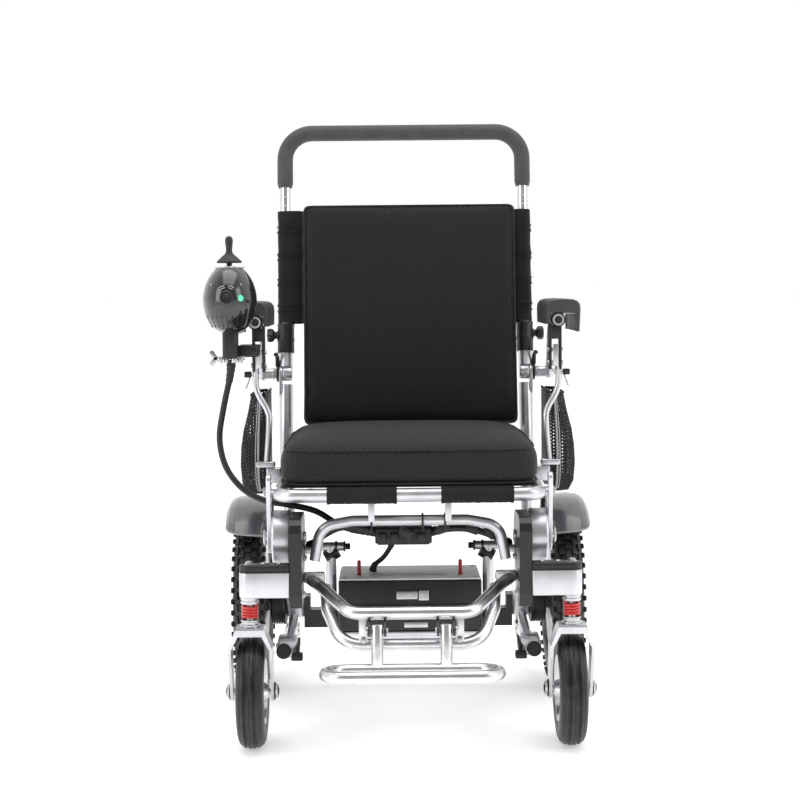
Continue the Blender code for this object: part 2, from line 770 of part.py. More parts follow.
def make_footrest_frame():
    """The two bent hoops in front of the battery, their link plates and the footplate's hinges."""
    upper = [
        (-0.160, -0.236, 0.264),
        (-0.140, -0.256, 0.252),
        (-0.093, -0.345, 0.2255),
        (0.093, -0.345, 0.2255),
        (0.140, -0.256, 0.252),
        (0.160, -0.236, 0.264),
    ]
    lower = [
        (-0.133, -0.250, 0.250),
        (-0.130, -0.285, 0.220),
        (-0.105, -0.340, 0.176),
        (0.105, -0.340, 0.176),
        (0.130, -0.285, 0.220),
        (0.133, -0.250, 0.250),
    ]
    hoop = tube(rounded(upper, 0.030, steps=2), 0.0095)
    pieces = [tube(rounded(lower, 0.045, steps=2), 0.0095)]
    for sign in SIDES.values():
        reach = PLATE_INNER_X - CLEARANCE
        pieces.append(side_box(sign, 0.134, reach, (-0.246, 0.2555), (-0.226, 0.2725), 0.002))
        pieces.append(side_box(sign, 0.066, 0.080, (-0.3470, 0.176), (-0.3410, 0.2240)))
        pin = side_rod(sign, FOOT_HANGER_X - 0.0165, FOOT_HANGER_X + 0.0165, FOOT_HINGE_Y,
                       FOOT_HINGE_Z, 0.003, 8)
        lug = limb_outline([(-0.345, 0.2150, 0.006), (FOOT_HINGE_Y, FOOT_HINGE_Z, 0.009)], 4)
        lugs = [side_plate_shape(lug, FOOT_HANGER_X + low, FOOT_HANGER_X + low + 0.004, sign)
                for low in (-0.014, 0.010)]
        pieces.append(combine(pin, lugs))
    part("footrest_frame", combine(hoop, pieces), "satin_silver")


def make_footplate():
    """The tube loop for the feet, on two hangers that flip up."""
    loop = rounded(
        [
            (-0.130, -0.451, 0.1495),
            (0.130, -0.451, 0.1495),
            (0.130, -0.371, 0.1440),
            (-0.130, -0.371, 0.1440),
        ],
        0.034,
        closed=True,
        steps=4,
    )
    frame = tube(loop, 0.009, closed=True)
    hangers, bores = [], []
    for sign in SIDES.values():
        x = sign * FOOT_HANGER_X
        hangers.append(rod((x, FOOT_HINGE_Y, FOOT_HINGE_Z + 0.009), (x, -0.370, 0.146), 0.009))
        bores.append(rod((x - 0.02, FOOT_HINGE_Y, FOOT_HINGE_Z),
                         (x + 0.02, FOOT_HINGE_Y, FOOT_HINGE_Z), 0.0036, 8))
    combine(frame, hangers)
    part("footplate", combine(frame, bores, "DIFFERENCE"), "satin_silver",
         (0, FOOT_HINGE_Y, FOOT_HINGE_Z))


# ---------------------------------------------------------------- backrest


def make_back_tube(side, sign):
    """The backrest's lower tube: hinge lug, and the bore that the push bar slides in."""
    x = sign * BACK_TUBE_X
    body = rod(leaned(x, 0, 0.0145), leaned(x, 0, BACK_TUBE_TOP), BACK_TUBE_RADIUS, 16)
    hub = side_rod(sign, 0.2045, 0.2220, BACK_Y, BACK_Z, 0.0135, 16)
    near, far = sorted((sign * 0.2050, sign * 0.2215))
    neck = lean_box((near, -0.0095, 0.0030), (far, 0.0095, 0.0190))
    combine(body, [hub, neck])
    bore = rod(leaned(x, 0, BACK_BORE_LOW), leaned(x, 0, 0.1), PUSH_TUBE_RADIUS + 0.0005, 16)
    part(f"back_tube_{side}", combine(body, [bore], "DIFFERENCE"), "satin_silver",
         (0, BACK_Y, BACK_Z))


def make_clamp_sleeve(side, sign):
    """The black collar that clamps the push bar's tube in the lower tube."""
    wide, narrow = BACK_TUBE_RADIUS + CLEARANCE, PUSH_TUBE_RADIUS + 0.0005
    step = BACK_TUBE_TOP + CLEARANCE
    profile = [
        (narrow, CLAMP_HIGH),
        (0.0150, CLAMP_HIGH),
        (0.0150, CLAMP_LOW),
        (wide, CLAMP_LOW),
        (wide, step),
        (narrow, step),
    ]
    ring = turned(profile, lean_matrix(sign * BACK_TUBE_X), 16, closed=True)
    part(f"clamp_sleeve_{side}", ring, "black_plastic")


def make_clamp_knob(side, sign):
    """The star knob on the collar: a drum whose grips stand out round it."""
    centre = leaned(0, 0, KNOB_HEIGHT)
    profile = [
        (0, 0.2500),
        (0.0105, 0.2500),
        (0.0130, 0.2470),
        (0.0130, 0.2400),
        (0.0060, 0.2370),
        (0.0060, 0.2316),
        (0, 0.2316),
    ]
    part(f"clamp_knob_{side}", turned(profile, along_x(0, centre.y, centre.z, sign), 12),
         "black_plastic", centre)


def push_bar_path():
    """The middle of the push bar, from the end of one leg to the end of the other."""
    corners = [
        leaned(-BACK_TUBE_X, 0, BACK_BORE_LOW + 0.001),
        leaned(-BACK_TUBE_X, 0, PUSH_BAR_HEIGHT),
        leaned(BACK_TUBE_X, 0, PUSH_BAR_HEIGHT),
        leaned(BACK_TUBE_X, 0, BACK_BORE_LOW + 0.001),
    ]
    return rounded(corners, 0.055, steps=4)


def make_push_bar():
    part("push_bar", tube(push_bar_path(), PUSH_TUBE_RADIUS, resolution=3), "satin_silver")


def make_push_grip():
    """The foam sleeve over the top of the push bar, cut to leave the bar's own room."""
    path = push_bar_path()
    low = leaned(0, 0, GRIP_LOW)
    path[0] = Vector((path[0].x, low.y, low.z))
    path[-1] = Vector((path[-1].x, low.y, low.z))
    grip = tube(path, GRIP_RADIUS, resolution=3)
    bore = tube(push_bar_path(), PUSH_TUBE_RADIUS + 0.0004, resolution=3)
    part("push_grip", combine(grip, [bore], "DIFFERENCE"), "foam_grip")


def make_back_pad():
    """The backrest's pad, and the sleeves behind its edges that hold it to the tubes."""
    pad = lean_box((-0.186, -0.045, -0.100), (0.2025, -0.0155, 0.305), 0.010)
    sleeves, bores = [], []
    for sign in SIDES.values():
        near, far = sorted((sign * 0.1700, sign * 0.2285))
        sleeves.append(lean_box((near, -0.0180, 0.0915), (far, 0.0125, 0.2960)))
        x = sign * BACK_TUBE_X
        bores.append(rod(leaned(x, 0, 0.080), leaned(x, 0, 0.32), PUSH_TUBE_RADIUS + 0.0006, 16))
    combine(pad, sleeves)
    part("back_pad", combine(pad, bores, "DIFFERENCE"), "fabric")


# ---------------------------------------------------------------- arms


def make_arm_frame(side, sign):
    """The arm's rail, rear plate, pivot tube, front clevis, post and foot."""
    x = sign * ARM_X
    rail = rod((x, ARM_FRONT_Y, ARM_RAIL_Z), (x, ARM_REAR_Y, ARM_RAIL_Z), ARM_RAIL_RADIUS)
    plate = limb_outline([(ARM_REAR_Y - 0.010, ARM_RAIL_Z - 0.002, 0.009), (0.176, 0.618, 0.009),
                          (BACK_Y, BACK_Z, 0.0125)], 5)
    post = [
        (x, ARM_FRONT_Y + 0.010, 0.600),
        (x, ARM_FRONT_Y + 0.010, 0.551),
        (sign * 0.234, ARM_FRONT_Y + 0.004, 0.515),
        (sign * 0.231, ARM_FRONT_Y, 0.492),
        (sign * 0.236, ARM_FRONT_Y, 0.424),
    ]
    pieces = [
        side_plate_shape(plate, 0.2522, 0.2620, sign),
        side_rod(sign, 0.2290, 0.2670, BACK_Y, BACK_Z, 0.010),
        side_box(sign, 0.237, 0.258, (ARM_FRONT_Y, 0.579), (ARM_FRONT_Y + 0.024, 0.655)),
        tube(rounded(post, 0.022, steps=3), 0.005),
        side_box(sign, 0.222, 0.253, (ARM_FRONT_Y - 0.011, 0.4205), (ARM_FRONT_Y + 0.011, 0.430)),
    ]
    part(f"arm_frame_{side}", combine(rail, pieces), "satin_silver", (0, BACK_Y, BACK_Z))


def make_arm_pad(side, sign):
    """The arm's padded top with the skirts at its sides."""
    under = ARM_RAIL_Z + ARM_RAIL_RADIUS + 0.0008
    outline = [
        (0.230, ARM_PAD_TOP - 0.008),
        (0.238, ARM_PAD_TOP),
        (0.282, ARM_PAD_TOP),
        (0.290, ARM_PAD_TOP - 0.008),
        (0.288, 0.642),
        (0.284, 0.642),
        (0.284, under),
        (0.2345, under),
        (0.2345, 0.655),
        (0.2305, 0.655),
    ]
    pad = front_plate_shape([(sign * u, w) for u, w in outline], ARM_FRONT_Y - 0.005, 0.130)
    part(f"arm_pad_{side}", pad, "satin_black", (0, BACK_Y, BACK_Z))


def make_side_pocket(side, sign):
    """The open-topped mesh pouch that hangs beside the seat."""
    outline = [(0.2385, 0.540), (0.262, 0.540), (0.280, 0.470), (0.283, 0.420), (0.272, 0.372),
               (0.2400, 0.372)]
    hollow = [(0.2410, 0.560), (0.2600, 0.560), (0.2600, 0.540), (0.2775, 0.470), (0.2800, 0.420),
              (0.2705, 0.3750), (0.2430, 0.3750)]
    pouch = front_plate_shape([(sign * u, w) for u, w in outline], -0.036, 0.140)
    inside = front_plate_shape([(sign * u, w) for u, w in hollow], -0.033, 0.137)
    part(f"side_pocket_{side}", combine(pouch, [inside], "DIFFERENCE"), "fabric",
         (0, BACK_Y, BACK_Z))


# ---------------------------------------------------------------- joystick and cables


def make_joystick_housing():
    """The egg-shaped control pod on its neck and clamp."""
    bm = bmesh.new()
    bmesh.ops.create_uvsphere(bm, u_segments=20, v_segments=12, radius=1)
    size = Matrix.Diagonal((0.0437, 0.065, 0.0575, 1))
    place = Matrix.Translation((JOYSTICK_X, JOYSTICK_Y, JOYSTICK_Z))
    bmesh.ops.transform(bm, matrix=place @ size, verts=bm.verts)
    pod = object_from(bm, "pod")
    y = JOYSTICK_Y
    neck = box((-0.298, y - 0.016, 0.604), (-0.276, y + 0.020, 0.668))
    arm = box((-0.280, y + 0.010, 0.606), (-0.2585, -0.030, 0.626))
    combine(pod, [neck, arm])
    recess = rod((JOYSTICK_X, y, 0.7427), (JOYSTICK_X, y, 0.775), 0.0255, 16)
    bore = rod((JOYSTICK_X, y - 0.080, BUTTON_Z), (JOYSTICK_X, y - 0.053, BUTTON_Z), 0.0085)
    part("joystick_housing", combine(pod, [recess, bore], "DIFFERENCE"), "black_plastic",
         (0, BACK_Y, BACK_Z))


def make_joystick_stick():
    """The gimbal ring under the boot, and the stick with its bell-shaped boot."""
    ring = mirrored_ring([(0.0060, 0.0015), (0.0092, 0.0015)])
    centre = (JOYSTICK_X, JOYSTICK_Y, STICK_PIVOT_Z)
    place = upright(*centre)
    part("joystick_gimbal", turned(ring, place, SMALL_STEPS, closed=True), "satin_silver", centre)
    profile = [
        (0, 0.0500),
        (0.0042, 0.0490),
        (0.0062, 0.0440),
        (0.0050, 0.0240),
        (0.0085, 0.0190),
        (0.0165, 0.0120),
        (0.0205, 0.0085),
        (0.0190, 0.0065),
        (0.0040, 0.0065),
        (0.0040, -0.0060),
        (0, -0.0060),
    ]
    part("joystick_stick", turned(profile, place, 16), "rubber", centre)


def make_power_button():
    y = JOYSTICK_Y - 0.065
    button = rod((JOYSTICK_X, y - 0.002, BUTTON_Z), (JOYSTICK_X, y + 0.008, BUTTON_Z), 0.0078)
    part("power_button", button, "black_plastic", (JOYSTICK_X, y, BUTTON_Z))


def smooth_route(points, spacing):
    """Points about that far apart along a smooth curve through the given ones."""
    points = [Vector(p) for p in points]
    padded = [points[0] * 2 - points[1], *points, points[-1] * 2 - points[-2]]
    route = [points[0]]
    for a, b, c, d in zip(padded, padded[1:], padded[2:], padded[3:]):
        steps = max(1, round((c - b).length / spacing))
        for k in range(1, steps + 1):
            t = k / steps
            route.append(
                0.5 * (2 * b + (c - a) * t + (2 * a - 5 * b + 4 * c - d) * t**2
                       + (3 * b - a - 3 * c + d) * t**3)
            )
    return route


def make_joystick_cable():
    """The lead from the control pod, down past the seat to the controller."""
    route = [
        (-0.286, -0.124, 0.6030),
        (-0.289, -0.124, 0.575),
        (-0.300, -0.125, 0.525),
        (-0.307, -0.126, 0.475),
        (-0.296, -0.140, 0.430),
        (-0.268, -0.150, 0.395),
        (-0.232, -0.152, 0.376),
        (-0.195, -0.150, 0.369),
        (-0.150, -0.152, 0.358),
        (-0.105, -0.164, 0.333),
        (-0.0570, -0.168, 0.326),
    ]
    part("joystick_cable", tube(smooth_route(route, 0.022), 0.005), "cable_black")


def make_battery_cable():
    """The lead from the controller down to the battery's top."""
    route = [
        (-0.0290, -0.140, 0.3112),
        (-0.0295, -0.139, 0.300),
        (-0.0420, -0.134, 0.280),
        (-0.0575, -0.129, 0.266),
        (-0.0600, -0.128, 0.2556),
    ]
    part("battery_cable", tube(smooth_route(route, 0.010), 0.004), "cable_black")


clear_scene()
PARTS = new_collection("power_wheelchair")
TOOLS = new_collection("cutters")

for side_name, side_sign in SIDES.items():
    make_side_plate(side_name, side_sign)
    make_fold_pin(side_name, side_sign)
    make_caster_housing(side_name, side_sign)
    make_caster_stem(side_name, side_sign)
    make_caster_spring(side_name, side_sign)
    make_caster_fork(side_name, side_sign)
    make_caster_wheel(side_name, side_sign)
    make_rear_leg(side_name, side_sign)
    make_anti_tip_wheel(side_name, side_sign)
    make_motor(side_name, side_sign)
    make_rear_wheel(side_name, side_sign)
    make_mudguard(side_name, side_sign)
    make_freewheel_lever(side_name, side_sign)
    make_back_tube(side_name, side_sign)
    make_clamp_sleeve(side_name, side_sign)
    make_clamp_knob(side_name, side_sign)
    make_arm_frame(side_name, side_sign)
    make_arm_pad(side_name, side_sign)
    make_side_pocket(side_name, side_sign)

make_rear_cross_beam()
make_seat_frame()
make_seat_sling()
make_seat_cushion()
make_battery_cradle()
make_battery()
make_controller_box()
make_footrest_frame()
make_footplate()
make_push_bar()
make_push_grip()
make_back_pad()
make_joystick_housing()
make_joystick_stick()
make_power_button()
make_joystick_cable()
make_battery_cable()
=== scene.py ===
"""Looks of a folding power wheelchair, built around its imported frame."""

import functools
import json
import logging
import math
from dataclasses import dataclass
from enum import Enum
from typing import Callable, Iterable, Sequence

import bmesh
import bpy
from mathutils import Matrix, Vector, noise

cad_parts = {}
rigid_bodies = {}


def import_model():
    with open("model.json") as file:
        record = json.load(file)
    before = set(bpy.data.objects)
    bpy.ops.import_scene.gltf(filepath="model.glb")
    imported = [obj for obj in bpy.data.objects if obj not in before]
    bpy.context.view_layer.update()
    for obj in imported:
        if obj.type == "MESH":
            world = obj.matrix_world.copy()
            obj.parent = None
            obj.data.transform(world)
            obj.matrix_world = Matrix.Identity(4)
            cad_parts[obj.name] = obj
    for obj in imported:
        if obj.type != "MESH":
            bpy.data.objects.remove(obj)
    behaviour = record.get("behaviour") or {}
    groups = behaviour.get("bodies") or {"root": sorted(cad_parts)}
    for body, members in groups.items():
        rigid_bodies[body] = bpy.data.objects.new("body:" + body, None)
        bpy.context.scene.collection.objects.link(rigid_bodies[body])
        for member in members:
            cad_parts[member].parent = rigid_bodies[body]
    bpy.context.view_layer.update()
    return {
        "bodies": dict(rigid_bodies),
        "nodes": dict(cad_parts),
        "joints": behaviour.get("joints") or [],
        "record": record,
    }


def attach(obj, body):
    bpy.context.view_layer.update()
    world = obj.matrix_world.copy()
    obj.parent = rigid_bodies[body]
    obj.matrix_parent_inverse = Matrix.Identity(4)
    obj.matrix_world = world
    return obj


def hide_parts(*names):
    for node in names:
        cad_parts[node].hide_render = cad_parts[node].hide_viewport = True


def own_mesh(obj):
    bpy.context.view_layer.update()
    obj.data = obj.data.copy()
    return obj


log = logging.getLogger("wheelchair")
Colour = tuple[float, float, float]
Point = Sequence[float]
Profile = Sequence[tuple[float, float]]

ALONG_X = (1, 0, 0)
ALONG_Y = (0, 1, 0)
ALONG_Z = (0, 0, 1)
# The back's hinge line, which the arms share, and how far the back leans.
HINGE_Y = 0.205
HINGE_Z = 0.564
LEAN_DEGREES = 9.0
# How far the points of a padded outline are drawn towards its corners.
CORNER_PULL = 0.19
# Edges that turn more than this many degrees stay sharp.
SHARP_DEGREES = 38.0


class Side(Enum):
    """The two sides of the chair, by the sign of X."""

    LEFT = 1
    RIGHT = -1

    @property
    def label(self) -> str:
        """The word that ends this side's names."""
        return self.name.lower()

    def x(self, distance: float) -> float:
        """The X place at a distance from the chair's middle."""
        return self.value * distance

    def at(self, distance: float, y: float, z: float) -> Vector:
        """A point on this side of the chair."""
        return Vector((self.value * distance, y, z))


class Weave(Enum):
    """How a fabric is made."""

    SPACER_NET = "spacer net"
    OPEN_NET = "open net"
    CANVAS = "canvas"


# ---------------------------------------------------------------- shader maths


class Signal:
    """A value that varies over a surface, with arithmetic that adds Math nodes."""

    def __init__(self, surface: "Surface", socket: bpy.types.NodeSocket) -> None:
        """Wrap one output socket of a surface's node tree."""
        self.surface = surface
        self.socket = socket

    def _maths(self, operation: str, *terms: "Signal | float") -> "Signal":
        """One Math node on the given terms."""
        return self.surface.node("ShaderNodeMath", {"operation": operation}, dict(enumerate(terms)))

    def __add__(self, other: "Signal | float") -> "Signal":
        """self + other."""
        return self._maths("ADD", self, other)

    def __sub__(self, other: "Signal | float") -> "Signal":
        """self - other."""
        return self._maths("SUBTRACT", self, other)

    def __mul__(self, other: "Signal | float") -> "Signal":
        """self * other."""
        return self._maths("MULTIPLY", self, other)

    def __truediv__(self, other: "Signal | float") -> "Signal":
        """self / other."""
        return self._maths("DIVIDE", self, other)

    def __rsub__(self, other: float) -> "Signal":
        """other - self."""
        return self._maths("SUBTRACT", other, self)

    __radd__ = __add__
    __rmul__ = __mul__

    def wave(self) -> "Signal":
        """The cosine of the value."""
        return self._maths("COSINE", self)

    def size(self) -> "Signal":
        """The value without its sign."""
        return self._maths("ABSOLUTE", self)

    def above(self, limit: float) -> "Signal":
        """1 where the value is over the limit, else 0."""
        return self._maths("GREATER_THAN", self, limit)

    def between(self, low: float, high: float) -> "Signal":
        """A smooth step.

        Args:
            low: The step is 0 below this.
            high: The step is 1 above this.

        Returns:
            The step.
        """
        return self.surface.node(
            "ShaderNodeMapRange",
            {"interpolation_type": "SMOOTHSTEP"},
            {"Value": self, "From Min": low, "From Max": high},
        )

    def choose(self, low: "Signal | float", high: "Signal | float") -> "Signal":
        """low where this signal is 0 and high where it is 1."""
        return self.surface.node("ShaderNodeMix", {"data_type": "FLOAT"}, {0: self, 2: low, 3: high})


class Surface:
    """One material under construction."""

    def __init__(self, name: str) -> None:
        """Start a material with its Principled shader.

        Args:
            name: The material's name.
        """
        self.material = bpy.data.materials.new(name)
        self.material.use_nodes = True
        self.tree = self.material.node_tree
        self.shader = self.tree.nodes["Principled BSDF"]

    def node(
        self,
        kind: str,
        settings: dict[str, object],
        sockets: dict[int | str, object],
        output: int | str = 0,
    ) -> Signal:
        """Add a node.

        Args:
            kind: The node's type.
            settings: Its own settings, set before its sockets.
            sockets: Values or signals for its input sockets.
            output: The output socket to hand back.

        Returns:
            The chosen output as a signal.
        """
        made = self.tree.nodes.new(kind)
        for key, value in settings.items():
            setattr(made, key, value)
        for place, value in sockets.items():
            self.feed(made.inputs[place], value)
        return Signal(self, made.outputs[output])

    def feed(self, socket: bpy.types.NodeSocket, value: object) -> None:
        """Link a signal to a socket, or set the socket's value.

        Args:
            socket: The input socket.
            value: A signal, a number or a colour.
        """
        if isinstance(value, Signal):
            self.tree.links.new(value.socket, socket)
        elif isinstance(value, tuple) and socket.type == "RGBA":
            socket.default_value = (*value, 1.0)
        else:
            socket.default_value = value

    def set(self, **values: object) -> None:
        """Feed the shader's sockets: names are written with _ for a space."""
        for name, value in values.items():
            self.feed(self.shader.inputs[name.replace("_", " ")], value)

    @functools.cached_property
    def place(self) -> Signal:
        """The point on the piece, in metres in the chair's frame at rest."""
        return self.node("ShaderNodeTexCoord", {}, {}, "Object")

    @functools.cached_property
    def facing(self) -> tuple[Signal, Signal, Signal]:
        """How squarely the surface faces along X, Y and Z, without sign."""
        direction = self.node("ShaderNodeTexCoord", {}, {}, "Normal")
        return tuple(axis.size() for axis in self.split(direction))

    def split(self, vector: Signal) -> tuple[Signal, Signal, Signal]:
        """The X, Y and Z of a vector."""
        x = self.node("ShaderNodeSeparateXYZ", {}, {0: vector})
        return x, *(Signal(self, x.socket.node.outputs[i]) for i in (1, 2))

    def stretched(self, scale: Point) -> Signal:
        """The place on the piece, scaled by axis."""
        return self.node("ShaderNodeVectorMath", {"operation": "MULTIPLY"}, {0: self.place, 1: tuple(scale)})

    def cloud(self, scale: float, detail: float = 3.0, place: Signal | None = None) -> Signal:
        """Soft noise from 0 to 1.

        Args:
            scale: Spots in a metre.
            detail: How many finer layers it has.
            place: Where it is read, if not at the plain place.

        Returns:
            The noise as a signal.
        """
        return self.node(
            "ShaderNodeTexNoise",
            {},
            {"Vector": place or self.place, "Scale": scale, "Detail": detail, "Roughness": 0.55},
        )

    def cells(self, scale: float) -> Signal:
        """Distance from the middle of random cells, for leather-like grain."""
        return self.node("ShaderNodeTexVoronoi", {}, {"Vector": self.place, "Scale": scale})

    def tint(self, amount: Signal | float, low: object, high: object) -> Signal:
        """A colour between low and high."""
        return self.node("ShaderNodeMix", {"data_type": "RGBA"}, {0: amount, 6: low, 7: high}, 2)

    def relief(self, height: Signal, depth: float, strength: float = 1.0) -> None:
        """Raise the surface by a height signal, depth metres at 1."""
        bump = self.node("ShaderNodeBump", {}, {"Height": height, "Distance": depth, "Strength": strength})
        self.feed(self.shader.inputs["Normal"], bump)

    def flat_place(self) -> tuple[Signal, Signal]:
        """Pick two coordinates that lie in the surface by which way it faces.

        Returns:
            One coordinate across the surface and one up it.
        """
        x, y, z = self.split(self.place)
        side, _, top = self.facing
        sideways, upward = side.above(0.7), top.above(0.6)
        return sideways.choose(x, y), upward.choose(z, y)


# ---------------------------------------------------------------- finishes


@dataclass(frozen=True)
class Finish:
    """What every finish has."""

    name: str
    colour: Colour
    roughness: float = 0.4

    def shade(self, amount: float) -> Colour:
        """The finish's colour times an amount."""
        return tuple(min(1.0, c * amount) for c in self.colour)

    def build(self, surface: Surface) -> None:
        """Add the finish's nodes to a surface."""
        raise NotImplementedError


@dataclass(frozen=True)
class Metal(Finish):
    """Metal, or metallic lacquer, with drawn grain, blotches and fine scuffs."""

    metallic: float = 1.0
    grain: float = 0.00006
    uneven: float = 0.1
    coat: float = 0.0

    def build(self, surface: Surface) -> None:
        """Grain, blotches and scuffs in colour, roughness and relief.

        Args:
            surface: The material to fill.
        """
        blotch = surface.cloud(24.0)
        fine = surface.cloud(900.0, 2.0, surface.stretched((1.0, 1.0, 0.25)))
        scuff = surface.cloud(150.0, 6.0).between(0.62, 0.74)
        dull = surface.tint(blotch.between(0.25, 0.8), self.shade(0.86), self.shade(1.04))
        surface.set(
            Base_Color=surface.tint(scuff * 0.5, dull, self.shade(0.72)),
            Metallic=self.metallic,
            Roughness=self.roughness + (blotch - 0.5) * self.uneven + scuff * 0.12 + (fine - 0.5) * 0.08,
            Coat_Weight=self.coat,
            Coat_Roughness=0.12,
        )
        surface.relief(fine + scuff * 0.6, self.grain)


@dataclass(frozen=True)
class Moulded(Finish):
    """Moulded plastic or rubber with spark grain and a little rubbed dust."""

    grain: float = 0.00012
    cell: float = 1400.0
    coat: float = 0.0
    dust: float = 0.1
    metallic: float = 0.0

    def build(self, surface: Surface) -> None:
        """Spark grain, worn patches and dust.

        Args:
            surface: The material to fill.
        """
        grain = surface.cells(self.cell)
        patch = surface.cloud(30.0, 4.0)
        rubbed = surface.cloud(220.0, 5.0).between(0.6, 0.75)
        base = surface.tint(patch.between(0.3, 0.75), self.shade(0.82), self.shade(1.12))
        surface.set(
            Base_Color=surface.tint(rubbed * self.dust, base, (0.32, 0.31, 0.3)),
            Roughness=self.roughness + (patch - 0.5) * 0.14 + rubbed * 0.1,
            Metallic=self.metallic,
            Coat_Weight=self.coat,
            Coat_Roughness=0.06,
        )
        surface.relief(grain + patch * 0.4, self.grain)


@dataclass(frozen=True)
class Tread(Finish):
    """Tyre rubber with fine grain and road dust."""

    def build(self, surface: Surface) -> None:
        """Fine grain and patches of dust.

        Args:
            surface: The material to fill.
        """
        dust = surface.cloud(60.0, 6.0).between(0.45, 0.8)
        grain = surface.cloud(700.0, 3.0)
        surface.set(
            Base_Color=surface.tint(dust * 0.35, self.colour, (0.1, 0.098, 0.092)),
            Roughness=self.roughness + (dust - 0.5) * 0.16 + (grain - 0.5) * 0.08,
        )
        surface.relief(grain + dust * 0.5, 0.00018)


@dataclass(frozen=True)
class Cloth(Finish):
    """Fabric: a net of small hexagons, or a plain weave."""

    weave: Weave = Weave.CANVAS
    pitch: float = 0.004
    depth: float = 0.0005
    thread: Colour = (0.021, 0.021, 0.0235)

    def build(self, surface: Surface) -> None:
        """The weave in colour, roughness and relief, with soft wear.

        Args:
            surface: The material to fill.
        """
        across, up = surface.flat_place()
        turn = 2 * math.pi / self.pitch
        if self.weave is Weave.CANVAS:
            warp, weft = (across * turn).wave(), (up * turn).wave()
            pattern = (warp * weft + 1.0) * 0.5
        else:
            slant = [across * (turn * math.cos(a)) + up * (turn * math.sin(a)) for a in (0, 2.0944, 4.18879)]
            rings = slant[0].wave() + slant[1].wave() + slant[2].wave()
            pattern = 1.0 - ((rings + 1.5) / 4.5)
        lint = surface.cloud(45.0, 5.0)
        fuzz = surface.cloud(1800.0, 2.0)
        body = surface.tint(lint.between(0.3, 0.8), self.shade(0.85), self.shade(1.15))
        raised = pattern.between(0.35, 0.8)
        surface.set(
            Base_Color=surface.tint(raised * 0.85, body, self.thread),
            Roughness=self.roughness + (fuzz - 0.5) * 0.1 - raised * 0.12,
            Sheen_Weight=0.05,
            Sheen_Roughness=0.45,
            Specular_IOR_Level=0.22,
        )
        surface.relief(raised + fuzz * 0.2, self.depth)
        if self.weave is Weave.OPEN_NET:
            surface.set(Alpha=pattern.between(0.3, 0.45))


@dataclass(frozen=True)
class FoamSkin(Finish):
    """Dense foam rubber with a fine closed skin."""

    def build(self, surface: Surface) -> None:
        """Pores and soft handling marks.

        Args:
            surface: The material to fill.
        """
        pores = surface.cells(1100.0)
        marks = surface.cloud(35.0, 4.0)
        surface.set(
            Base_Color=surface.tint(marks.between(0.3, 0.75), self.shade(0.85), self.shade(1.2)),
            Roughness=self.roughness + (marks - 0.5) * 0.18,
            Sheen_Weight=0.1,
        )
        surface.relief(pores.between(0.05, 0.45) + marks * 0.3, 0.00022)


@dataclass(frozen=True)
class Lamp(Finish):
    """A small lit lens."""

    power: float = 3.0

    def build(self, surface: Surface) -> None:
        """A lens that is brighter in its grain.

        Args:
            surface: The material to fill.
        """
        grain = surface.cells(2500.0)
        surface.set(
            Base_Color=self.colour,
            Roughness=self.roughness,
            Emission_Color=surface.tint(grain, self.shade(0.6), self.colour),
            Emission_Strength=self.power,
        )


@functools.cache
def material_of(finish: Finish) -> bpy.types.Material:
    """The one material of a finish.

    Args:
        finish: The finish to build.

    Returns:
        Its material, made on the first call.
    """
    surface = Surface(finish.name)
    finish.build(surface)
    return surface.material


SILVER = Metal("satin_silver_lacquer", (0.7, 0.71, 0.73), 0.34, metallic=0.85, coat=0.15)
BRIGHT = Metal("polished_alloy", (0.82, 0.825, 0.84), 0.29, uneven=0.07, grain=0.00003)
STEEL = Metal("zinc_plated_steel", (0.6, 0.61, 0.62), 0.3)
WHEEL_ALLOY = Metal("wheel_alloy", (0.66, 0.67, 0.69), 0.3, metallic=0.8, coat=0.2)
BLACK_PAINT = Metal("black_powder_coat", (0.012, 0.012, 0.013), 0.38, metallic=0.0, grain=0.00015, coat=0.1)
BLACK_PLASTIC = Moulded("black_plastic", (0.011, 0.011, 0.0125), 0.38)
GLOSS_PLASTIC = Moulded("gloss_black_plastic", (0.014, 0.014, 0.016), 0.16, 0.00003, coat=0.7, dust=0.03)
GREY_SHELL = Moulded("grey_gloss_shell", (0.125, 0.128, 0.138), 0.24, 0.00003, coat=0.6, dust=0.06)
PALE_SHELL = Moulded("pale_shell_edge", (0.3, 0.305, 0.315), 0.28, 0.00003, coat=0.5, dust=0.04)
BATTERY_BLACK = Moulded("battery_case", (0.01, 0.01, 0.012), 0.34)
LID_WHITE = Moulded("battery_lid", (0.96, 0.96, 0.97), 0.42, dust=0.02)
PAD_SKIN = Moulded("pad_skin", (0.042, 0.042, 0.045), 0.46, 0.0002, 900.0)
PAD_UNDERSIDE = Moulded("pad_underside", (0.52, 0.52, 0.54), 0.45, dust=0.15)
BOOT = Moulded("boot_rubber", (0.016, 0.016, 0.018), 0.5, 0.0001)
CABLE_JACKET = Moulded("cable_jacket", (0.009, 0.009, 0.01), 0.4, 0.00006)
TYRE = Tread("tyre_rubber", (0.009, 0.009, 0.0095), 0.5)
SPRING_RED = Metal("red_spring", (0.6, 0.02, 0.018), 0.3, metallic=0.1, coat=0.5)
PIN_RED = Moulded("red_pin", (0.62, 0.02, 0.02), 0.3, dust=0.02)
NET = Cloth("spacer_net", (0.012, 0.012, 0.014), 0.74, Weave.SPACER_NET, 0.005, 0.0004)
BACK_NET = Cloth("back_spacer_net", (0.0075, 0.0075, 0.0088), 0.74, Weave.SPACER_NET, 0.005, 0.0004,
                 (0.0185, 0.0185, 0.02))
POCKET_NET = Cloth("pocket_net", (0.018, 0.018, 0.02), 0.7, Weave.OPEN_NET, 0.005, 0.0004)
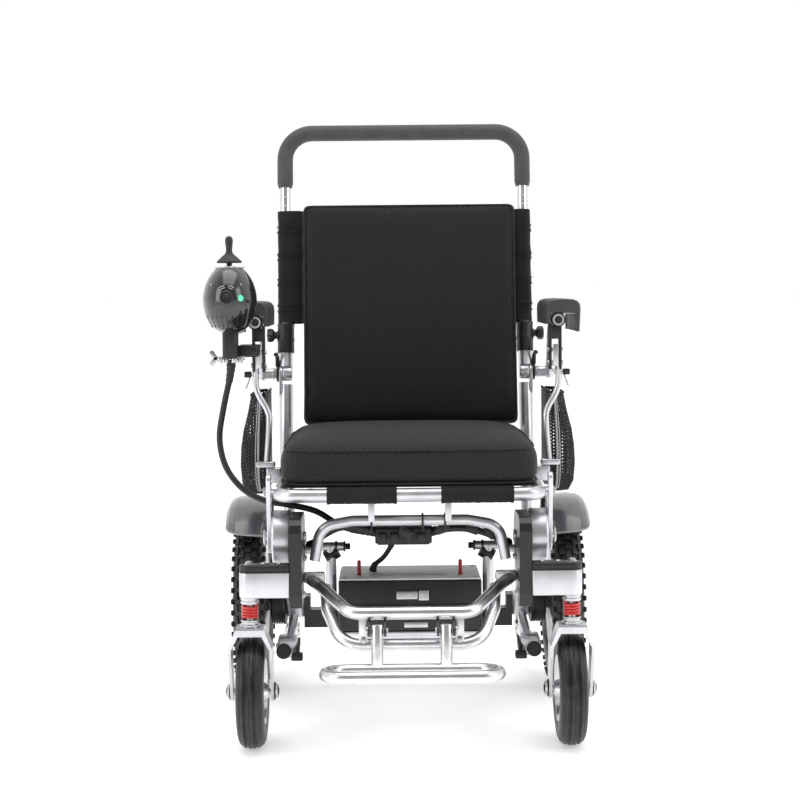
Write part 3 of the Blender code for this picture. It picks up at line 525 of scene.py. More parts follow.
CANVAS = Cloth("black_canvas", (0.009, 0.009, 0.011), 0.66, Weave.CANVAS, 0.0016, 0.0003)
PIPING = Cloth("black_piping", (0.013, 0.013, 0.015), 0.6, Weave.CANVAS, 0.0011, 0.0002)
PALE_PIPING = Cloth("pale_piping", (0.42, 0.42, 0.44), 0.6, Weave.CANVAS, 0.0011, 0.0002, (0.6, 0.6, 0.62))
GRIP_FOAM = FoamSkin("grip_foam", (0.052, 0.053, 0.057), 0.6)
GREEN_LAMP = Lamp("green_lamp", (0.05, 0.85, 0.2), 0.25)
MARKING = Moulded("pale_marking", (0.55, 0.56, 0.58), 0.35, dust=0.02)

NODE_FINISH: dict[str, Finish] = {
    "satin_silver": SILVER,
    "rim": WHEEL_ALLOY,
    "steel": STEEL,
    "satin_black": BLACK_PAINT,
    "black_plastic": BLACK_PLASTIC,
    "battery_case": BATTERY_BLACK,
    "grey_plastic": GREY_SHELL,
    "arm_pad": PAD_SKIN,
    "boot_rubber": BOOT,
    "tyre": TYRE,
    "fabric": CANVAS,
    "mesh_fabric": NET,
    "foam": GRIP_FOAM,
    "red_spring": SPRING_RED,
    "cable": CABLE_JACKET,
}


# ---------------------------------------------------------------- shapes


def frame_along(direction: Vector) -> Matrix:
    """The turn that takes Z to a direction."""
    return direction.to_track_quat("Z", "Y").to_matrix().to_4x4()


def leaned(x: float, across: float, up: float) -> Vector:
    """A point beside the leaning back, from the hinge's line.

    Args:
        x: Its X place.
        across: How far behind the back's plane it is.
        up: How far up the back it is.

    Returns:
        The point in the chair's frame.
    """
    lean = math.radians(LEAN_DEGREES)
    y = HINGE_Y + across * math.cos(lean) + up * math.sin(lean)
    z = HINGE_Z - across * math.sin(lean) + up * math.cos(lean)
    return Vector((x, y, z))


def round_square(angle: float, flat: float, steep: float) -> tuple[float, float]:
    """The point at an angle on a rounded square of half-width 1; lower powers are squarer."""
    x, y = math.cos(angle), math.sin(angle)
    return math.copysign(abs(x) ** flat, x), math.copysign(abs(y) ** steep, y)


def square_ring(steps: int, square: float, shift: float = 0.0) -> list[tuple[float, float]]:
    """The outline of a pad of half-width 1, with more points at its corners.

    Args:
        steps: How many points it has.
        square: How square its corners are.
        shift: How far round its first point is, in steps.

    Returns:
        The points, in order.
    """
    turns = (2 * math.pi * (i + shift) / steps for i in range(steps))
    return [round_square(a + CORNER_PULL * math.sin(4 * a), 2 / square, 2 / square) for a in turns]


def mirrored(half: Profile) -> list[tuple[float, float]]:
    """A turned profile from its half, which starts in the middle."""
    return [(-x, r) for x, r in half[:0:-1]] + list(half)


def part_way(line: Profile, share: float) -> tuple[float, float]:
    """The place on a line of points at a share of its steps.

    Args:
        line: The points.
        share: From 0 at the first to 1 at the last.

    Returns:
        The place's two coordinates.
    """
    spot = share * (len(line) - 1)
    i = min(int(spot), len(line) - 2)
    t = spot - i
    return tuple(a * (1 - t) + b * t for a, b in zip(line[i], line[i + 1]))


def rounded_path(points: Sequence[Point], corner: float, steps: int = 10) -> list[Vector]:
    """A path with its corners turned into arcs.

    Args:
        points: The path's corners.
        corner: The arcs' radius, in metres.
        steps: Points on each arc.

    Returns:
        The points of the rounded path.
    """
    at = [Vector(p) for p in points]
    path = [at[0]]
    for before, here, after in zip(at, at[1:], at[2:]):
        first, second = (before - here).normalized(), (after - here).normalized()
        half = first.angle(second) / 2
        if half > math.radians(88):
            path.append(here)
            continue
        reach = min(corner / math.tan(half), (before - here).length * 0.49, (after - here).length * 0.49)
        radius = reach * math.tan(half)
        middle = here + (first + second).normalized() * (radius / math.sin(half))
        start, end = here + first * reach - middle, here + second * reach - middle
        for i in range(steps + 1):
            path.append(middle + start.slerp(end, i / steps, start).normalized() * radius)
    path.append(at[-1])
    return path


def smooth_path(points: Sequence[Point], spacing: float) -> list[Vector]:
    """A smooth curve through points, with even steps.

    Args:
        points: The points it goes through.
        spacing: About how far apart its own points are, in metres.

    Returns:
        The curve's points.
    """
    at = [Vector(p) for p in points]
    ends = [at[0] * 2 - at[1], *at, at[-1] * 2 - at[-2]]
    path = [at[0]]
    for a, b, c, d in zip(ends, ends[1:], ends[2:], ends[3:]):
        steps = max(1, round((c - b).length / spacing))
        for i in range(1, steps + 1):
            t = i / steps
            path.append(
                0.5
                * (2 * b + (c - a) * t + (2 * a - 5 * b + 4 * c - d) * t * t + (3 * b - a - 3 * c + d) * t**3)
            )
    return path


class Form:
    """One mesh under construction, in metres in the chair's frame."""

    def __init__(self) -> None:
        """Start with nothing."""
        self.mesh = bmesh.new()

    def _take(self, part: bmesh.types.BMesh, matrix: Matrix | None = None) -> "Form":
        """Add a finished shell to the mesh.

        Args:
            part: The shell, which is freed.
            matrix: Where it goes, if it isn't in place.

        Returns:
            This form.
        """
        if matrix is not None:
            bmesh.ops.transform(part, matrix=matrix, verts=part.verts)
        bmesh.ops.recalc_face_normals(part, faces=part.faces)
        shell = bpy.data.meshes.new("shell")
        part.to_mesh(shell)
        part.free()
        self.mesh.from_mesh(shell)
        bpy.data.meshes.remove(shell)
        return self

    @staticmethod
    def _soften(part: bmesh.types.BMesh, rounding: float, steps: int, sharper: float = 30.0) -> None:
        """Round the edges of a shell.

        Args:
            part: The shell.
            rounding: The radius, in metres.
            steps: Steps across each rounded edge.
            sharper: Only edges that turn by more than this many degrees are rounded.
        """
        if rounding <= 0:
            return
        edges = [e for e in part.edges if e.is_manifold and e.calc_face_angle(0) > math.radians(sharper)]
        bmesh.ops.bevel(
            part,
            geom=edges,
            offset=rounding,
            segments=steps,
            profile=0.5,
            affect="EDGES",
            clamp_overlap=True,
        )

    def box(
        self, low: Point, high: Point, rounding: float = 0.001, steps: int = 3, turn: Matrix | None = None
    ) -> "Form":
        """Add a box with rounded edges.

        Args:
            low: Its lowest corner, or any corner.
            high: The opposite corner.
            rounding: The radius of its edges.
            steps: Steps across each rounded edge.
            turn: A turn about the box's middle.

        Returns:
            This form.
        """
        part = bmesh.new()
        bmesh.ops.create_cube(part, size=1.0)
        low, high = Vector(low), Vector(high)
        size = high - low
        bmesh.ops.scale(part, vec=[abs(s) for s in size], verts=part.verts)
        self._soften(part, rounding, steps)
        place = Matrix.Translation((low + high) / 2)
        return self._take(part, place @ turn if turn is not None else place)

    def lathe(
        self,
        profile: Profile,
        centre: Point,
        axis: Point = ALONG_X,
        steps: int = 64,
        ring: bool = False,
        wobble: Callable[[float], float] | None = None,
    ) -> "Form":
        """Add a turned shape.

        Args:
            profile: Pairs of place along the axis and radius.
            centre: The point that the places count from.
            axis: The axis's direction.
            steps: Steps round it.
            ring: Whether the profile closes on itself, as a tyre's does.
            wobble: The radius's factor at an angle, as for a knob's lobes.

        Returns:
            This form.
        """
        part = bmesh.new()
        rings = []
        for along, radius in profile:
            if radius <= 1e-7:
                rings.append([part.verts.new((0, 0, along))])
                continue
            angles = [2 * math.pi * i / steps for i in range(steps)]
            reach = [radius * (wobble(a) if wobble else 1.0) for a in angles]
            ring_points = [(r * math.cos(a), r * math.sin(a), along) for a, r in zip(angles, reach)]
            rings.append([part.verts.new(point) for point in ring_points])
        pairs = list(zip(rings, rings[1:] + ([rings[0]] if ring else [])))
        for a, b in pairs:
            for i in range(steps):
                j = (i + 1) % steps
                corners = [a[i % len(a)], a[j % len(a)], b[j % len(b)], b[i % len(b)]]
                corners = list(dict.fromkeys(corners))
                if len(corners) > 2:
                    part.faces.new(corners)
        if not ring:
            for end in (rings[0], rings[-1]):
                if len(end) > 2:
                    part.faces.new(end)
        return self._take(part, Matrix.Translation(Vector(centre)) @ frame_along(Vector(axis)))

    def rod(
        self, start: Point, end: Point, radius: float, rounding: float = 0.0006, sides: int = 32
    ) -> "Form":
        """Add a round bar with softened ends.

        Args:
            start: The middle of its first end.
            end: The middle of its second end.
            radius: Its radius.
            rounding: How much of each end is softened.
            sides: Steps round it; six make a hexagon.

        Returns:
            This form.
        """
        start, end = Vector(start), Vector(end)
        long = (end - start).length
        soft = min(rounding, radius * 0.6, long * 0.4)
        profile = [
            (0, 0),
            (0, radius - soft),
            (soft * 0.3, radius - soft * 0.3),
            (soft, radius),
            (long - soft, radius),
            (long - soft * 0.3, radius - soft * 0.3),
            (long, radius - soft),
            (long, 0),
        ]
        return self.lathe(profile, start, end - start, sides)

    def sweep(
        self,
        path: Sequence[Point],
        radius: float | Callable[[float], float],
        sides: int = 24,
        closed: bool = False,
        flatten: float = 1.0,
        up: Point = ALONG_Z,
    ) -> "Form":
        """Add a tube along a path.

        Args:
            path: The points of its middle line.
            radius: Its radius, or the radius at each share of its length.
            sides: Steps round it.
            closed: Whether the path joins its own start.
            flatten: The section's second axis as a share of its first.
            up: The way that the section's second axis leans.

        Returns:
            This form.
        """
        part = bmesh.new()
        at = [Vector(p) for p in path]
        count = len(at)
        rings = []
        side = None
        for i, here in enumerate(at):
            if closed:
                tangent = (at[(i + 1) % count] - at[i - 1]).normalized()
            else:
                tangent = (at[min(i + 1, count - 1)] - at[max(i - 1, 0)]).normalized()
            if side is None or flatten != 1.0:
                side = tangent.cross(Vector(up))
                if side.length < 1e-3:
                    side = tangent.cross(Vector((0.31, 0.17, 0.93)))
            side = (side - tangent * side.dot(tangent)).normalized()
            other = side.cross(tangent)
            reach = radius(i / (count - 1)) if callable(radius) else radius
            turns = (2 * math.pi * k / sides for k in range(sides))
            rings.append([
                part.verts.new(here + side * (reach * math.cos(a)) + other * (reach * flatten * math.sin(a)))
                for a in turns
            ])
        pairs = list(zip(rings, rings[1:])) + ([(rings[-1], rings[0])] if closed else [])
        for a, b in pairs:
            for k in range(sides):
                j = (k + 1) % sides
                part.faces.new((a[k], a[j], b[j], b[k]))
        if not closed:
            part.faces.new(rings[0])
            part.faces.new(rings[-1])
        return self._take(part)

    def prism(
        self,
        outline: Sequence[tuple[float, float]],
        axis: int,
        low: float,
        high: float,
        rounding: float = 0.001,
        steps: int = 2,
    ) -> "Form":
        """Add a flat outline pushed along an axis.

        Args:
            outline: Its corners, in the two other axes in order.
            axis: 0, 1 or 2, for X, Y or Z.
            low: Where it starts along the axis.
            high: Where it ends.
            rounding: The radius of its edges.
            steps: Steps across each rounded edge.

        Returns:
            This form.
        """
        part = bmesh.new()
        spots = [i for i in range(3) if i != axis]
        layers = []
        for level in (low, high):
            ring = []
            for a, b in outline:
                place = [0.0, 0.0, 0.0]
                place[axis], place[spots[0]], place[spots[1]] = level, a, b
                ring.append(part.verts.new(place))
            layers.append(ring)
            part.faces.new(ring)
        count = len(outline)
        for i in range(count):
            j = (i + 1) % count
            part.faces.new((layers[0][i], layers[0][j], layers[1][j], layers[1][i]))
        bmesh.ops.recalc_face_normals(part, faces=part.faces)
        self._soften(part, rounding, steps)
        return self._take(part)

    def surface(
        self,
        place: Callable[[float, float], Vector],
        across: int,
        along: int,
        thickness: float,
    ) -> "Form":
        """Add a curved sheet with thickness.

        Args:
            place: The point at two shares from 0 to 1.
            across: Steps in the first share.
            along: Steps in the second.
            thickness: How thick it is, to one side of the points.

        Returns:
            This form.
        """
        part = bmesh.new()
        columns = range(along + 1)
        rows = [[part.verts.new(place(i / across, j / along)) for j in columns] for i in range(across + 1)]
        for i in range(across):
            for j in range(along):
                part.faces.new((rows[i][j], rows[i + 1][j], rows[i + 1][j + 1], rows[i][j + 1]))
        bmesh.ops.recalc_face_normals(part, faces=part.faces)
        bmesh.ops.solidify(part, geom=part.faces[:], thickness=thickness)
        bmesh.ops.recalc_face_normals(part, faces=part.faces)
        return self._take(part)

    def reflected(self, side: Side) -> "Form":
        """Mirror what is built so far, which is made for the left.

        Args:
            side: The side that it is for.

        Returns:
            This form.
        """
        if side is Side.RIGHT:
            bmesh.ops.scale(self.mesh, vec=(-1, 1, 1), verts=self.mesh.verts)
            bmesh.ops.reverse_faces(self.mesh, faces=self.mesh.faces)
        return self

    def piece(self, name: str, sharp: float = SHARP_DEGREES) -> bpy.types.Object:
        """Make the object and free the form.

        Args:
            name: The object's name.
            sharp: Edges that turn more than this many degrees stay sharp.

        Returns:
            The object.
        """
        mesh = bpy.data.meshes.new(name)
        self.mesh.to_mesh(mesh)
        self.mesh.free()
        mesh.shade_smooth()
        mesh.set_sharp_from_angle(angle=math.radians(sharp))
        made = bpy.data.objects.new(name, mesh)
        bpy.context.scene.collection.objects.link(made)
        return made


def fit(
    made: Form | bpy.types.Object,
    name: str,
    finish: Finish,
    body: str,
    stands_for: Iterable[str] = (),
    sharp: float = SHARP_DEGREES,
) -> bpy.types.Object:
    """Dress a piece and hang it on its body.

    Args:
        made: The form, or an object that is already made.
        name: The piece's name.
        finish: Its finish.
        body: The body that it moves with.
        stands_for: The frame's nodes that it replaces.
        sharp: Edges that turn more than this many degrees stay sharp.

    Returns:
        The piece.
    """
    piece = made.piece(name, sharp) if isinstance(made, Form) else made
    piece.data.materials.clear()
    piece.data.materials.append(material_of(finish))
    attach(piece, body)
    if stands_for:
        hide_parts(*stands_for)
    log.info("%s rides on %s", name, body)
    return piece


@dataclass
class Sided:
    """A part that is built for the left and mirrored for the right."""

    side: Side

    def name(self, word: str) -> str:
        """A name for this side."""
        return f"{word}_{self.side.label}"

    def hang(
        self,
        form: Form,
        word: str,
        finish: Finish,
        body: str,
        slot: str,
        node: str = "",
        sharp: float = SHARP_DEGREES,
    ) -> bpy.types.Object:
        """Mirror a form to this side, dress it and hang it on its body.

        Args:
            form: The form, made for the left.
            word: The piece's name without its side.
            finish: Its finish.
            body: The body that it moves with.
            slot: The record's material slot; not used.
            node: The frame's node that it replaces, without its side.
            sharp: Edges that turn more than this many degrees stay sharp.

        Returns:
            The piece.
        """
        replaced = [self.name(node)] if node else []
        return fit(form.reflected(self.side), self.name(word), finish, body, replaced, sharp)


# ---------------------------------------------------------------- studio


@dataclass
class Studio:
    """The camera, the floor and the light."""

    eye: Point = (-0.03, -3.09, 0.724)
    lens: float = 82.2
    pitch: float = 3.64
    yaw: float = -0.33
    roll: float = -0.55
    floor_size: float = 60.0

    def camera(self) -> None:
        """Stand the camera in front of the chair."""
        data = bpy.data.cameras.new("camera")
        data.lens = self.lens
        camera = bpy.data.objects.new("camera", data)
        bpy.context.scene.collection.objects.link(camera)
        camera.matrix_world = (
            Matrix.Translation(self.eye)
            @ Matrix.Rotation(math.radians(self.yaw), 4, "Z")
            @ Matrix.Rotation(math.radians(90 - self.pitch), 4, "X")
            @ Matrix.Rotation(math.radians(self.roll), 4, "Z")
        )
        bpy.context.scene.camera = camera

    def floor(self) -> None:
        """Lay the pale floor."""
        part = bmesh.new()
        bmesh.ops.create_grid(part, x_segments=2, y_segments=2, size=self.floor_size / 2)
        mesh = bpy.data.meshes.new("floor")
        part.to_mesh(mesh)
        part.free()
        floor = bpy.data.objects.new("floor", mesh)
        bpy.context.scene.collection.objects.link(floor)
        surface = Surface("floor_paper")
        surface.set(Base_Color=(0.93, 0.93, 0.93), Roughness=0.75, Specular_IOR_Level=0.15)
        surface.set(Emission_Color=(1.0, 1.0, 1.0), Emission_Strength=0.4)
        mesh.materials.append(surface.material)

    def softbox(
        self, name: str, place: Point, target: Point, size: tuple[float, float], power: float
    ) -> None:
        """Hang one large soft light and aim it.

        Args:
            name: The lamp's name.
            place: Where it hangs.
            target: The point that it faces.
            size: Its width and height.
            power: Its power, in watts.
        """
        data = bpy.data.lights.new(name, "AREA")
        data.shape = "RECTANGLE"
        data.size, data.size_y = size
        data.energy = power
        lamp = bpy.data.objects.new(name, data)
        bpy.context.scene.collection.objects.link(lamp)
        lamp.location = place
        lamp.rotation_euler = (Vector(target) - Vector(place)).to_track_quat("-Z", "Y").to_euler()

    def light(self) -> None:
        """White surroundings and three soft lights."""
        world = bpy.data.worlds.new("studio")
        bpy.context.scene.world = world
        world.use_nodes = True
        tree = world.node_tree
        way = tree.nodes.new("ShaderNodeTexCoord")
        parts = tree.nodes.new("ShaderNodeSeparateXYZ")
        ramp = tree.nodes.new("ShaderNodeMapRange")
        for key, value in {"From Min": -0.75, "From Max": 0.25, "To Min": 0.28, "To Max": 1.0}.items():
            ramp.inputs[key].default_value = value
        tree.links.new(way.outputs["Generated"], parts.inputs[0])
        tree.links.new(parts.outputs[1], ramp.inputs["Value"])
        tree.nodes["Background"].inputs[0].default_value = (1.0, 1.0, 1.0, 1.0)
        tree.links.new(ramp.outputs[0], tree.nodes["Background"].inputs[1])
        self.softbox("top_light", (0.0, -0.3, 3.2), (0, 0, 0.4), (2.6, 2.6), 45.0)
        self.softbox("left_light", (-2.6, -1.6, 1.5), (0, 0, 0.5), (1.2, 2.2), 26.0)
        self.softbox("right_light", (2.6, -1.2, 1.6), (0, 0, 0.5), (1.2, 2.2), 22.0)
        bpy.context.scene.view_settings.view_transform = "Standard"

    def build(self) -> None:
        """Everything round the chair."""
        self.camera()
        self.floor()
        self.light()


def limb(stations: Sequence[tuple[float, float, float]], steps: int = 8) -> list[tuple[float, float]]:
    """The outline of a bar that bends and tapers, with round ends.

    Args:
        stations: Two coordinates and a half-width at each bend.
        steps: Points on each round end.

    Returns:
        The outline's corners in order.
    """
    at = [Vector(s[:2]) for s in stations]
    near, far, tangents = [], [], []
    for i, (here, station) in enumerate(zip(at, stations)):
        run = (at[min(i + 1, len(at) - 1)] - at[max(i - 1, 0)]).normalized()
        normal = Vector((-run.y, run.x))
        tangents.append(run)
        near.append(here + normal * station[2])
        far.append(here - normal * station[2])

    def end_arc(centre: Vector, start: Vector, turn: float) -> list[Vector]:
        """A half circle from a start offset, without its two ends."""
        return [centre + Matrix.Rotation(turn * i / steps, 2) @ start for i in range(1, steps)]

    outline = near + end_arc(at[-1], near[-1] - at[-1], -math.pi)
    outline += far[::-1] + end_arc(at[0], far[0] - at[0], -math.pi)
    return [tuple(p) for p in outline]


def spoke(
    centre: tuple[float, float], angle: float, inner: float, outer: float, root: float, tip: float
) -> list[tuple[float, float]]:
    """The outline of a spoke in the Y-Z plane.

    Args:
        centre: The wheel's middle.
        angle: Which way it points, in radians.
        inner: Where it starts, from the middle.
        outer: Where it ends.
        root: Half its width at its start.
        tip: Half its width at its end.

    Returns:
        Its four corners.
    """
    out = Vector((math.cos(angle), math.sin(angle)))
    side = Vector((-out.y, out.x))
    middle = Vector(centre)
    corners = ((inner, root), (outer, tip), (outer, -tip), (inner, -root))
    return [tuple(middle + out * r + side * w) for r, w in corners]


def hex_bolt(form: Form, centre: Point, axis: Point, radius: float, height: float) -> None:
    """Add a hexagon head on a washer.

    Args:
        form: The form that it joins.
        centre: The middle of its foot.
        axis: Which way it stands.
        radius: Its radius over the corners.
        height: Its height.
    """
    centre, way = Vector(centre), Vector(axis).normalized()
    form.rod(centre, centre + way * height * 0.25, radius * 1.35, 0.0003)
    form.rod(centre + way * height * 0.2, centre + way * height, radius, 0.0006, 6)
    form.rod(centre + way * height * 0.9, centre + way * height * 1.25, radius * 0.55, 0.0004, 20)


def socket_screw(form: Form, centre: Point, axis: Point, radius: float, height: float) -> None:
    """Add a round screw head with a sunk socket.

    Args:
        form: The form that it joins.
        centre: The middle of its foot.
        axis: Which way it stands.
        radius: Its radius.
        height: Its height.
    """
    centre, way = Vector(centre), Vector(axis).normalized()
    ring = [(0, 0), (0, radius), (height * 0.7, radius), (height, radius * 0.8), (height, radius * 0.5)]
    form.lathe([*ring, (height * 0.45, radius * 0.45), (height * 0.45, 0)], centre, way, 24)


@dataclass
class Caster(Sided):
    """A front corner: housing, sprung stem, fork and small wheel."""

    stem_x: float = 0.249
    stem_y: float = -0.29
    wheel_y: float = -0.258
    wheel_z: float = 0.089
    radius: float = 0.089
    half_width: float = 0.022

    def stadium(self, grow: float) -> list[tuple[float, float]]:
        """The housing's outline from above, square inside and round outside.

        Args:
            grow: How far it stands past the housing's own outline.

        Returns:
            The outline's corners.
        """
        reach = 0.016 + grow
        arc = [
            (self.stem_x + reach * math.cos(a), self.stem_y + reach * math.sin(a))
            for a in (math.radians(-90 + 180 * i / 16) for i in range(17))
        ]
        return [(0.1873, self.stem_y - reach), *arc, (0.1873, self.stem_y + reach)]

    def housing(self) -> None:
        """The silver housing with its dark cap and bolts."""
        form = Form().prism(self.stadium(0.0), 2, 0.243, 0.2835, 0.0022, 3)
        form.lathe([(0, 0.0062), (0, 0.0125), (0.0012, 0.014), (0.0042, 0.014), (0.005, 0.0118),
                    (0.0062, 0.0118), (0.007, 0.014), (0.01, 0.014), (0.011, 0.0128), (0.011, 0.0062)],
                   (self.stem_x, self.stem_y, 0.2326), ALONG_Z, 40, ring=True)
        self.hang(form, "caster_block", SILVER, "frame", "satin_silver", "caster_housing")
        cap = Form().prism(self.stadium(-0.0006), 2, 0.2825, 0.294, 0.0026, 3)
        cap.prism(self.stadium(0.0003), 2, 0.2815, 0.2845, 0.0008, 2)
        self.hang(cap, "caster_cap", BLACK_PLASTIC, "frame", "black_plastic")
        screws = Form()
        for x in (0.203, 0.228):
            socket_screw(screws, (x, self.stem_y, 0.2938), ALONG_Z, 0.0042, 0.0025)
        hex_bolt(screws, (self.stem_x, self.stem_y, 0.2936), ALONG_Z, 0.0062, 0.0045)
        self.hang(screws, "caster_screws", STEEL, "frame", "steel")

    def spring(self) -> None:
        """The red coil between the fork's flange and the housing."""
        turns, low, high, wire, reach = 4.6, 0.21, 0.231, 0.0023, 0.0112
        path = []
        for i in range(161):
            t = i / 160
            angle = 2 * math.pi * turns * t
            x, y = self.stem_x + reach * math.cos(angle), self.stem_y + reach * math.sin(angle)
            path.append((x, y, low + (high - low) * t))
        form = Form().sweep(path, wire, 12)
        coil = self.hang(form, "spring_coil", SPRING_RED, "frame", "red_spring", "caster_spring")
        anchor = self.side.at(self.stem_x, self.stem_y, 0.233)
        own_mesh(coil)

    def fork(self) -> None:
        """Axle nuts, washers and the stem's collar on the fork."""
        nuts = Form()
        for way in (1, -1):
            start = Vector((self.stem_x + way * 0.0332, self.wheel_y, self.wheel_z))
            nuts.rod(start, start + Vector((way * 0.0022, 0, 0)), 0.0135, 0.0008)
            hex_bolt(nuts, start + Vector((way * 0.0018, 0, 0)), (way, 0, 0), 0.01, 0.0052)
        self.hang(nuts, "axle_nuts", BLACK_PLASTIC, self.name("caster_swivel"), "black_plastic")
        collar = Form().lathe(
            [(0, 0.0062), (0, 0.015), (0.0018, 0.016), (0.0042, 0.016), (0.0052, 0.0128), (0.0088, 0.0128),
             (0.0096, 0.014), (0.0116, 0.014), (0.0116, 0.0062)],
            (self.stem_x, self.stem_y, 0.1966), ALONG_Z, 40, ring=True)
        self.hang(collar, "stem_collar", STEEL, self.name("caster_swivel"), "steel")

    def wheel(self) -> None:
        """The ribbed tyre and the spoked rim."""
        half = [(0.0, 0.088), (0.0016, 0.089), (0.0052, 0.0888), (0.0062, 0.0866), (0.0082, 0.0864),
                (0.0094, 0.0882), (0.0126, 0.0872), (0.014, 0.085), (0.0156, 0.0846), (0.0184, 0.0822),
                (0.0208, 0.077), (0.0219, 0.069), (0.0216, 0.061), (0.0202, 0.056), (0.0206, 0.0545),
                (0.0196, 0.0522), (0.017, 0.0516)]
        section = mirrored(half)
        centre = (self.stem_x, self.wheel_y, self.wheel_z)
        tyre = Form().lathe(section, centre, ALONG_X, 96, ring=True)
        self.hang(tyre, "small_tyre", TYRE, self.name("caster_wheel"), "tyre", "caster_tyre", 30)
        half_rim = [(0.0, 0.044), (0.008, 0.0445), (0.014, 0.0475), (0.0195, 0.049), (0.0205, 0.0505),
                    (0.0195, 0.0518), (0.012, 0.0514)]
        rim = Form().lathe(mirrored(half_rim), centre, ALONG_X, 96, ring=True)
        rim.lathe([(-0.026, 0.006), (-0.026, 0.0105), (-0.022, 0.0125), (-0.014, 0.015), (0.014, 0.015),
                   (0.022, 0.0125), (0.026, 0.0105), (0.026, 0.006)], centre, ALONG_X, 48, ring=True)
        for i in range(5):
            angle = math.radians(90 + 72 * i)
            outline = spoke((self.wheel_y, self.wheel_z), angle, 0.012, 0.046, 0.0085, 0.006)
            rim.prism(outline, 0, self.stem_x - 0.0085, self.stem_x + 0.0085, 0.0022, 3)
        self.hang(rim, "small_rim", BRIGHT, self.name("caster_wheel"), "rim", "caster_rim")

    def build(self) -> None:
        """The whole corner."""
        self.housing()
        self.spring()
        self.fork()
        self.wheel()


